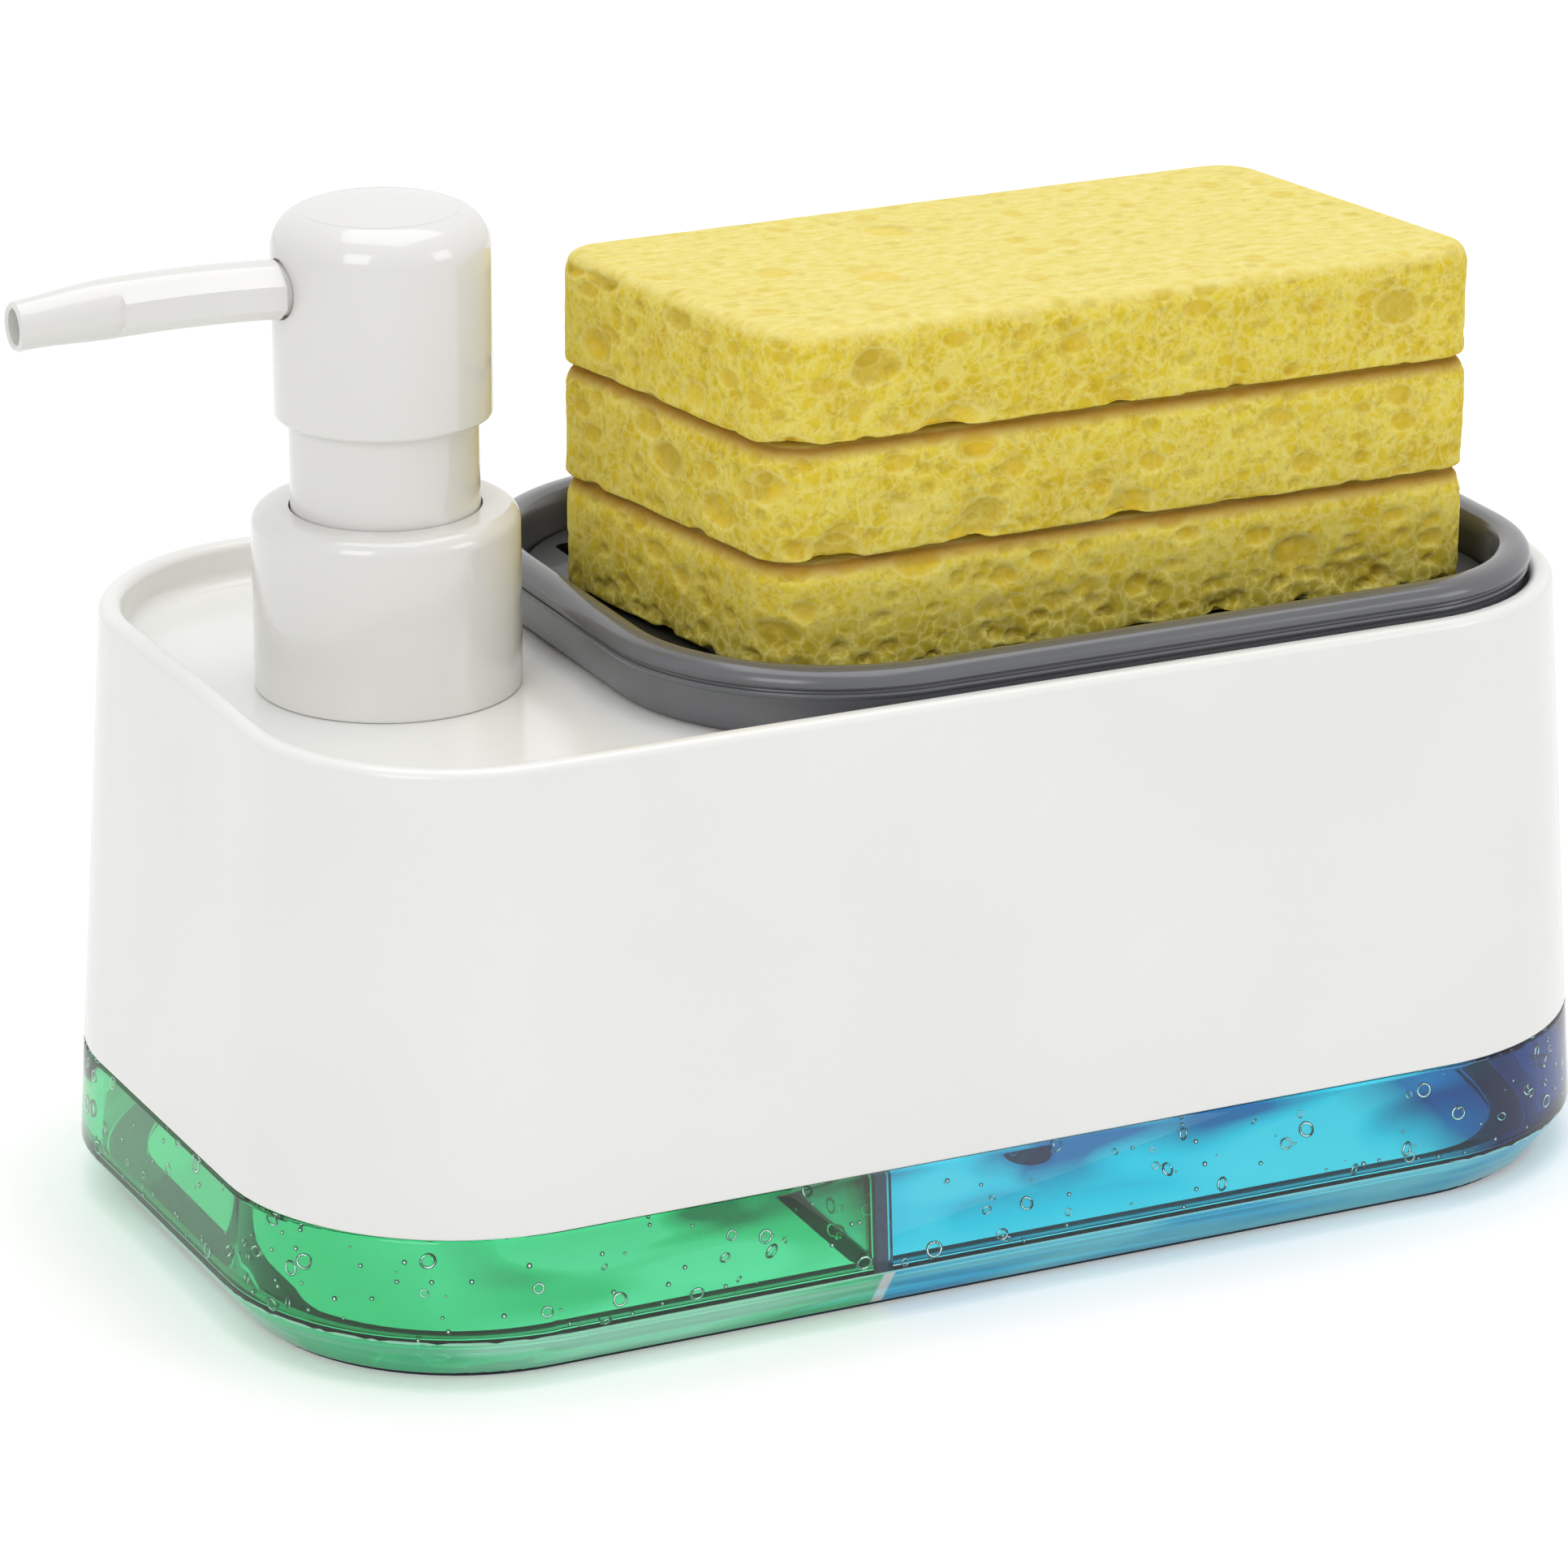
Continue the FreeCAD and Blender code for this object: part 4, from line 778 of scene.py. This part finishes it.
# %% [markdown]
# ## Soap
#
# Liquid soap wets the wall, so no film of air lies between them. The solids leave a thin gap there, and a
# ray would mirror at it, so each body of soap is swollen just past the gap. The gel is clear with a milky
# trace. Its colour holds painted light and shade: paler low down where light comes in from the floor, darker
# with height and in soft patches of painted shade near the top, and in the blue cell's end a painted dark
# reflection of the curved corner.

# %% Soap gel

SOAP_SWELL = 0.14 * MM
SOAP_TOP_BAND = 1.5 * MM  # the painted shade no longer deepens in this band under the surface
PATCH_MM = 15
PATCH_SQUEEZE = (0.45, 0.8, 1.3)
PATCH_FROM = 0.4  # the noise at which a patch of painted shade starts, and at which it is full
PATCH_TO = 0.57
HEIGHT_SHARE = 0.35  # how far height alone deepens the painted shade, without a patch
GREEN_PLAIN_MM = (26, 14)  # from the soap's end: where the end's plain colour starts, and where it is full
# The blue cell's end colour is a painted dark reflection of the curved corner.
BLUE_PLAIN_MM = (32, 20)
SOAP_IOR = 1.0  # liquid soap is about 1.36, matched down so that the view runs straight through it


def soap_gel(name, node, pale, middle, deep, end_colour, end_span):
    """Coloured gel with painted light and shade: pale at its foot, dark in soft patches of painted shade
    above, and plain towards the caddy's end.
    """
    material, tree, shader = new_material(
        name, IOR=SOAP_IOR, Transmission_Weight=0.97, Roughness=0.05, Specular_IOR_Level=0.1)
    coordinates = object_coordinates(tree)
    low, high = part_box(node)
    place = add(tree, "ShaderNodeSeparateXYZ", {"Vector": coordinates}).outputs
    rise = add(tree, "ShaderNodeMapRange", {
        "Value": place["Z"], "From Min": low.z, "From Max": high.z - SOAP_TOP_BAND}).outputs["Result"]
    stretched = add(tree, "ShaderNodeMapping", {"Vector": coordinates, "Scale": PATCH_SQUEEZE})
    shade_patches = add(tree, "ShaderNodeTexNoise", {
        "Vector": stretched.outputs["Vector"], "Scale": per_metre(PATCH_MM), "Detail": 1.0,
        "Distortion": 0.6})
    cloud = add(tree, "ShaderNodeMapRange", {
        "Value": shade_patches.outputs["Fac"], "From Min": PATCH_FROM, "From Max": PATCH_TO}).outputs["Result"]
    mixed = add(tree, "ShaderNodeMath", {0: rise, 1: cloud}, operation="MULTIPLY").outputs[0]
    depth = add(tree, "ShaderNodeMath", {
        0: rise, 1: HEIGHT_SHARE, 2: mixed}, operation="MULTIPLY_ADD").outputs[0]
    colour = ramp(tree, depth, (0.05, pale), (0.4, middle), (1.0, deep))
    end = add(tree, "ShaderNodeMapRange", {
        "Value": place["X"], "From Min": end_span[0], "From Max": end_span[1]}).outputs["Result"]
    colour = add(tree, "ShaderNodeMix", {
        "Factor": end, "A": colour, "B": linear(end_colour)}, data_type="RGBA").outputs["Result"]
    plug(tree, shader, Base_Color=colour)
    return material


def swollen(mesh, distance):
    """The mesh with each point moved out along its normal."""
    for vertex in mesh.vertices:
        vertex.co += vertex.normal * distance
    return mesh


GREEN_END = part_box("soap_pump_cell")[0].x
BLUE_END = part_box("soap_spare_cell")[1].x
green_gel = soap_gel(
    "green_soap_gel", "soap_pump_cell", "#72FAC0", "#25BE70", "#034A26", "#4ADB94",
    [GREEN_END + distance * MM for distance in GREEN_PLAIN_MM])
# The navy end colour of the blue gel is a painted dark reflection of the curved corner.
blue_gel = soap_gel(
    "blue_soap_gel", "soap_spare_cell", "#5CF2FF", "#12D6F4", "#023C86", "#023C86",
    [BLUE_END - distance * MM for distance in BLUE_PLAIN_MM])
soap_skins = {}
for node, name, material in (
    ("soap_pump_cell", "green_soap", green_gel),
    ("soap_spare_cell", "blue_soap", blue_gel),
):
    soap_skins[name] = stand_for(name, swollen(welded_copy(node), SOAP_SWELL), material, node).data

# %% [markdown]
# ### Bubbles
#
# Air caught when the tank was filled clings to the inside of the wall. Each bubble shows as a bright ring,
# and the smallest as dots. They could be placed by hand, but a scatter over the soap's skin is what such
# bubbles follow, so Geometry Nodes put rings and dots at random points of the upright parts.

# %% The tree that scatters bubbles

BUBBLE_STEEP = 0.6  # bubbles cling where the skin's normal points up or down by less than this
BUBBLE_LEAN = 0.7  # radians
RING_WIRE_SHARE = 0.22  # of a ring's radius


def trapped_air():
    """Air in soap: its rim turns all light back, so it looks like pale silver."""
    material, tree, shader = new_material("trapped_air", Metallic=1.0, Roughness=0.12)
    sparkle = add(tree, "ShaderNodeTexNoise", {"Vector": object_coordinates(tree), "Scale": per_metre(1.5)})
    colour = ramp(tree, sparkle.outputs["Fac"], (0.35, "#C4FBEC"), (0.65, "#FBFFFE"))
    plug(tree, shader, Base_Color=colour)
    return material


def bubble_tree(material):
    """Scatters rings and dots over the steep parts of a skin."""
    numbers = (
        "Rings per area", "Dots per area", "Least ring", "Most ring", "Least dot", "Most dot", "Top",
        "Stand off")
    tree, given = new_tree("bubbles", "Bubbles", numbers, Skin="Geometry", Seed="Int")
    normal = add(tree, "GeometryNodeInputNormal").outputs["Normal"]
    slope = add(tree, "ShaderNodeSeparateXYZ", {"Vector": normal}).outputs["Z"]
    steep = add(tree, "ShaderNodeMath", {0: slope, 1: 0.0, 2: BUBBLE_STEEP}, operation="COMPARE").outputs[0]
    position = add(tree, "GeometryNodeInputPosition").outputs["Position"]
    height = add(tree, "ShaderNodeSeparateXYZ", {"Vector": position}).outputs["Z"]
    below = add(tree, "ShaderNodeMath", {0: height, 1: given["Top"]}, operation="LESS_THAN").outputs[0]
    wanted = add(tree, "ShaderNodeMath", {0: steep, 1: below}, operation="MULTIPLY").outputs[0]
    circle = add(tree, "GeometryNodeCurvePrimitiveCircle", {"Resolution": 12, "Radius": 1.0}).outputs["Curve"]
    wire = add(tree, "GeometryNodeCurvePrimitiveCircle", {
        "Resolution": 5, "Radius": RING_WIRE_SHARE}).outputs["Curve"]
    ring = add(tree, "GeometryNodeCurveToMesh", {"Curve": circle, "Profile Curve": wire}).outputs["Mesh"]
    dot = add(tree, "GeometryNodeMeshIcoSphere", {"Radius": 1.0, "Subdivisions": 2}).outputs["Mesh"]
    scattered = []
    for shape, density, least, most, step in (
        (ring, "Rings per area", "Least ring", "Most ring", 0),
        (dot, "Dots per area", "Least dot", "Most dot", 1),
    ):
        seed = add(tree, "ShaderNodeMath", {0: given["Seed"], 1: float(step)}, operation="ADD").outputs[0]
        points = add(tree, "GeometryNodeDistributePointsOnFaces", {
            "Mesh": given["Skin"], "Selection": wanted, "Density": given[density], "Seed": seed}).outputs
        outward = add(tree, "ShaderNodeVectorMath", {
            0: points["Normal"], "Scale": given["Stand off"]}, operation="SCALE").outputs[0]
        spots = add(tree, "GeometryNodeSetPosition", {
            "Geometry": points["Points"], "Offset": outward}).outputs["Geometry"]
        size = add(tree, "FunctionNodeRandomValue", {
            "Min": given[least], "Max": given[most], "Seed": seed}, data_type="FLOAT").outputs["Value"]
        placed = add(tree, "GeometryNodeInstanceOnPoints", {
            "Points": spots, "Instance": shape, "Rotation": points["Rotation"], "Scale": size,
        }).outputs["Instances"]
        lean = add(tree, "FunctionNodeRandomValue", {
            "Min": (-BUBBLE_LEAN, -BUBBLE_LEAN, 0.0), "Max": (BUBBLE_LEAN, BUBBLE_LEAN, 0.0), "Seed": seed,
        }, data_type="FLOAT_VECTOR").outputs["Value"]
        scattered.append(add(tree, "GeometryNodeRotateInstances", {
            "Instances": placed, "Rotation": lean}).outputs["Instances"])
    joined = add(tree, "GeometryNodeJoinGeometry")
    for instances in scattered:
        tree.links.new(instances, joined.inputs["Geometry"])
    return end_tree(tree, joined.outputs["Geometry"], material)


# %% Scatter the bubbles

bubble_scatter = bubble_tree(trapped_air())
SEAM_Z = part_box("housing")[0].z
for seed, (name, skin) in enumerate(soap_skins.items()):
    mesh = grown(
        name + "_bubbles", skin.copy(), bubble_scatter, rings_per_area=34000.0, dots_per_area=44000.0,
        stand_off=0.35 * MM, least_ring=0.35 * MM, most_ring=1.1 * MM, least_dot=0.15 * MM,
        most_dot=0.4 * MM, top=SEAM_Z, seed=4 + seed)
    mesh.shade_smooth()
    bubbles = bpy.data.objects.new(name + "_bubbles", mesh)
    scene.collection.objects.link(bubbles)
    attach(bubbles, "tank")
    print(bubbles.name, len(mesh.polygons), "faces")

# %% [markdown]
# ## Rubber, steel and inner mouldings
#
# The seals, the foot and the stopper are moulded rubber: dark, soft-edged reflections and a dusty grain.
# The pieces inside the pump are plain mouldings, a drawn steel spring and a steel ball.

# %% Hidden and small pieces


def moulded_rubber(name, dark, dusty):
    """Moulded rubber: dull sheen with a fine dusty grain."""
    material, tree, shader = new_material(name, IOR=1.5)
    coordinates = object_coordinates(tree)
    grain = add(tree, "ShaderNodeTexNoise", {"Vector": coordinates, "Scale": per_metre(0.9), "Detail": 4.0})
    colour = ramp(tree, grain.outputs["Fac"], (0.35, dark), (0.75, dusty))
    gloss = add(tree, "ShaderNodeMapRange", {"Value": grain.outputs["Fac"], "To Min": 0.5, "To Max": 0.75})
    bump = add(tree, "ShaderNodeBump", {
        "Height": grain.outputs["Fac"], "Strength": 0.15, "Distance": 0.1 * MM})
    plug(tree, shader, Base_Color=colour, Roughness=gloss.outputs["Result"], Normal=bump.outputs["Normal"])
    return material


def drawn_steel():
    """Bright drawn steel: fine streaks in the gloss."""
    material, tree, shader = new_material("drawn_spring_steel", Metallic=1.0)
    coordinates = object_coordinates(tree)
    streaks = add(tree, "ShaderNodeTexNoise", {"Vector": coordinates, "Scale": per_metre(0.6), "Detail": 3.0})
    colour = ramp(tree, streaks.outputs["Fac"], (0.3, "#A9ABAD"), (0.7, "#C9CBCC"))
    gloss = add(tree, "ShaderNodeMapRange", {"Value": streaks.outputs["Fac"], "To Min": 0.18, "To Max": 0.34})
    plug(tree, shader, Base_Color=colour, Roughness=gloss.outputs["Result"])
    return material


seal_rubber = moulded_rubber("black_seal_rubber", "#101826", "#202B3A")
divider_rubber = moulded_rubber("navy_seal_rubber", "#2B3358", "#3E4874")
stopper_rubber = moulded_rubber("blue_stopper_rubber", "#1E5A86", "#2E7CAB")
inner_polypropylene = moulded_white_plastic("matt_white_polypropylene", "#E6E5E0", "#DEDDD8", 0.45, 0.0)
tube_polythene = moulded_white_plastic("milky_polythene", "#D3DAD6", "#C6CFCB", 0.4, 0.0)
spring_steel = drawn_steel()
FINISHES = {
    "dark_rubber": seal_rubber,
    "stopper_rubber": stopper_rubber,
    "inner_white": inner_polypropylene,
    "milky_tube": tube_polythene,
    "spring_steel": spring_steel,
}
for node, shape in frame["nodes"].items():
    finish = FINISHES.get(slot_of(node))
    if finish is not None:
        shape.data.materials.clear()
        shape.data.materials.append(finish)
print("finishes:", ", ".join(sorted(FINISHES)))

SEAL_PINCH = 0.7  # of the solid's width, as narrow as the photo shows the strip
pinched_seal = welded_copy("divider_seal")
for vertex in pinched_seal.vertices:
    vertex.co.x = DIVIDER_X + (vertex.co.x - DIVIDER_X) * SEAL_PINCH
stand_for("divider_strip", pinched_seal, divider_rubber, "divider_seal")

# %% [markdown]
# ### Return spring
#
# The spring is steel wire wound in a helix whose end turns lie closer together. The solid has even turns,
# so a tree winds it anew: a flat spiral, lifted along its length by a smooth step, is swept with a small
# circle. When the head is pressed the real spring shortens towards its seat; this wound piece keeps its
# length and rides with its body.

# %% Wind the spring

SPRING_RADIUS = 4.5 * MM
SPRING_WIRE = 0.5 * MM
SPRING_TURNS = 7.0


def spring_tree(material):
    """Winds a wire round an axis that stands on the foot."""
    numbers = ("Turns", "Radius", "Wire", "Height")
    tree, given = new_tree("wound_spring", "Spring", numbers, Base="Geometry", Foot="Vector")
    spiral = add(tree, "GeometryNodeCurveSpiral", {
        "Resolution": 40, "Rotations": given["Turns"], "Start Radius": given["Radius"],
        "End Radius": given["Radius"], "Height": 0.0}).outputs["Curve"]
    along = add(tree, "GeometryNodeSplineParameter").outputs["Factor"]
    rise = add(tree, "ShaderNodeMapRange", {
        "Value": along, "To Max": given["Height"]}, interpolation_type="SMOOTHSTEP").outputs["Result"]
    lift = add(tree, "ShaderNodeCombineXYZ", {"Z": rise}).outputs[0]
    offset = add(tree, "ShaderNodeVectorMath", {0: lift, 1: given["Foot"]}, operation="ADD").outputs[0]
    path = add(tree, "GeometryNodeSetPosition", {"Geometry": spiral, "Offset": offset}).outputs["Geometry"]
    wire = add(tree, "GeometryNodeCurvePrimitiveCircle", {
        "Resolution": 10, "Radius": given["Wire"]}).outputs["Curve"]
    swept = add(tree, "GeometryNodeCurveToMesh", {
        "Curve": path, "Profile Curve": wire, "Fill Caps": True}).outputs["Mesh"]
    return end_tree(tree, swept, material)


low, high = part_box("return_spring")
mesh = grown(
    "wound_spring", bpy.data.meshes.new("spring_base"), spring_tree(spring_steel), turns=SPRING_TURNS,
    radius=SPRING_RADIUS, wire=SPRING_WIRE, height=high.z - low.z - 2 * SPRING_WIRE,
    foot=(PUMP_AXIS.x, PUMP_AXIS.y, low.z + SPRING_WIRE))
mesh.shade_smooth()
spring = stand_for("wound_spring", mesh, spring_steel, "return_spring")
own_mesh(spring)

# %% [markdown]
# ## Floor, light and camera
#
# The photo is a studio shot on white. A pale floor fills the frame behind the caddy and keeps its shadow. A
# soft overhead light and two softboxes shape the whites, and the world fills the rest.

# %% Floor and world

FLOOR_SIZE = 8.0
FLOOR_LIFT = 0.2  # keeps the paper white to the camera


def pale_floor():
    """White paper that is lifted to plain white where the camera, a reflection or a clear thing shows it."""
    mesh = bpy.data.meshes.new("studio_floor")
    half = FLOOR_SIZE / 2
    corners = [(-half, -half, 0), (half, -half, 0), (half, half, 0), (-half, half, 0)]
    mesh.from_pydata(corners, [], [(0, 1, 2, 3)])
    floor = bpy.data.objects.new("studio_floor", mesh)
    scene.collection.objects.link(floor)
    material, tree, shader = new_material("white_paper", Roughness=0.9, Emission_Color=(1.0, 1.0, 1.0, 1.0))
    fibre = add(tree, "ShaderNodeTexNoise", {"Vector": object_coordinates(tree), "Scale": per_metre(60)})
    paper = ramp(tree, fibre.outputs["Fac"], (0.3, "#FBFBFA"), (0.7, "#FCFCFB"))
    plug(tree, shader, Base_Color=paper)
    path = add(tree, "ShaderNodeLightPath").outputs
    lifted = add(tree, "ShaderNodeMath", {
        0: path["Is Camera Ray"], 1: path["Is Glossy Ray"]}, operation="MAXIMUM").outputs[0]
    glow = add(tree, "ShaderNodeMath", {0: lifted, 1: FLOOR_LIFT}, operation="MULTIPLY").outputs[0]
    plug(tree, shader, Emission_Strength=glow)
    white = add(tree, "ShaderNodeEmission", {"Strength": 1.0}).outputs["Emission"]
    seen = add(tree, "ShaderNodeMixShader", {
        "Fac": path["Is Transmission Ray"], 1: shader.outputs["BSDF"], 2: white}).outputs["Shader"]
    tree.links.new(seen, tree.nodes["Material Output"].inputs["Surface"])
    mesh.materials.append(material)


WORLD_FILL = 0.56
WORLD_SEEN = 1.0


def studio_world():
    """Grey fill light, seen as white by the camera and through clear things."""
    world = bpy.data.worlds.new("studio")
    world.use_nodes = True
    tree = world.node_tree
    path = add(tree, "ShaderNodeLightPath").outputs
    seen = path["Is Camera Ray"]
    for ray in ("Is Transmission Ray", "Is Glossy Ray"):
        seen = add(tree, "ShaderNodeMath", {0: seen, 1: path[ray]}, operation="MAXIMUM").outputs[0]
    strength = add(tree, "ShaderNodeMapRange", {"Value": seen, "To Min": WORLD_FILL, "To Max": WORLD_SEEN})
    background = tree.nodes["Background"]
    tree.links.new(strength.outputs["Result"], background.inputs["Strength"])
    background.inputs["Color"].default_value = (1.0, 1.0, 1.0, 1.0)
    scene.world = world


pale_floor()
studio_world()

# %% Softboxes

LIGHT_TARGET = Vector((0, 0, 0.06))


def softbox(name, place, size, power):
    """A square area light that faces the middle of the caddy."""
    light = bpy.data.lights.new(name, "AREA")
    light.size = size
    light.energy = power
    lamp = bpy.data.objects.new(name, light)
    lamp.location = place
    aim = LIGHT_TARGET - Vector(place)
    lamp.rotation_euler = aim.to_track_quat("-Z", "Y").to_euler()
    scene.collection.objects.link(lamp)


softbox("overhead_softbox", (0.1, 0.1, 1.4), 1.2, 8.0)
softbox("left_softbox", (-1.1, -0.9, 0.9), 0.7, 4.2)
softbox("right_softbox", (1.1, -1.1, 0.7), 0.6, 2.6)

# %% Camera

VIEW_AZIMUTH = math.radians(-25.72)
VIEW_ELEVATION = math.radians(19.54)
VIEW_DISTANCE = 0.9999
VIEW_TARGET = Vector((-7.38, -0.39, 56.86)) * MM
FRAME_PIXELS = 1932
FOCAL_PIXELS = 8918.5
SENSOR_MM = 36.0
LENS_SHIFT = (0.0004, -0.0070)


def photo_camera():
    data = bpy.data.cameras.new("photo_camera")
    data.sensor_width = SENSOR_MM
    data.lens = FOCAL_PIXELS / FRAME_PIXELS * SENSOR_MM
    data.shift_x, data.shift_y = LENS_SHIFT
    data.clip_end = 20.0
    camera = bpy.data.objects.new("photo_camera", data)
    level = math.cos(VIEW_ELEVATION)
    back = Vector((
        math.sin(VIEW_AZIMUTH) * level, -math.cos(VIEW_AZIMUTH) * level, math.sin(VIEW_ELEVATION)))
    camera.location = VIEW_TARGET + back * VIEW_DISTANCE
    camera.rotation_euler = back.to_track_quat("Z", "Y").to_euler()
    scene.collection.objects.link(camera)
    scene.camera = camera


photo_camera()
scene.view_settings.view_transform = "Standard"
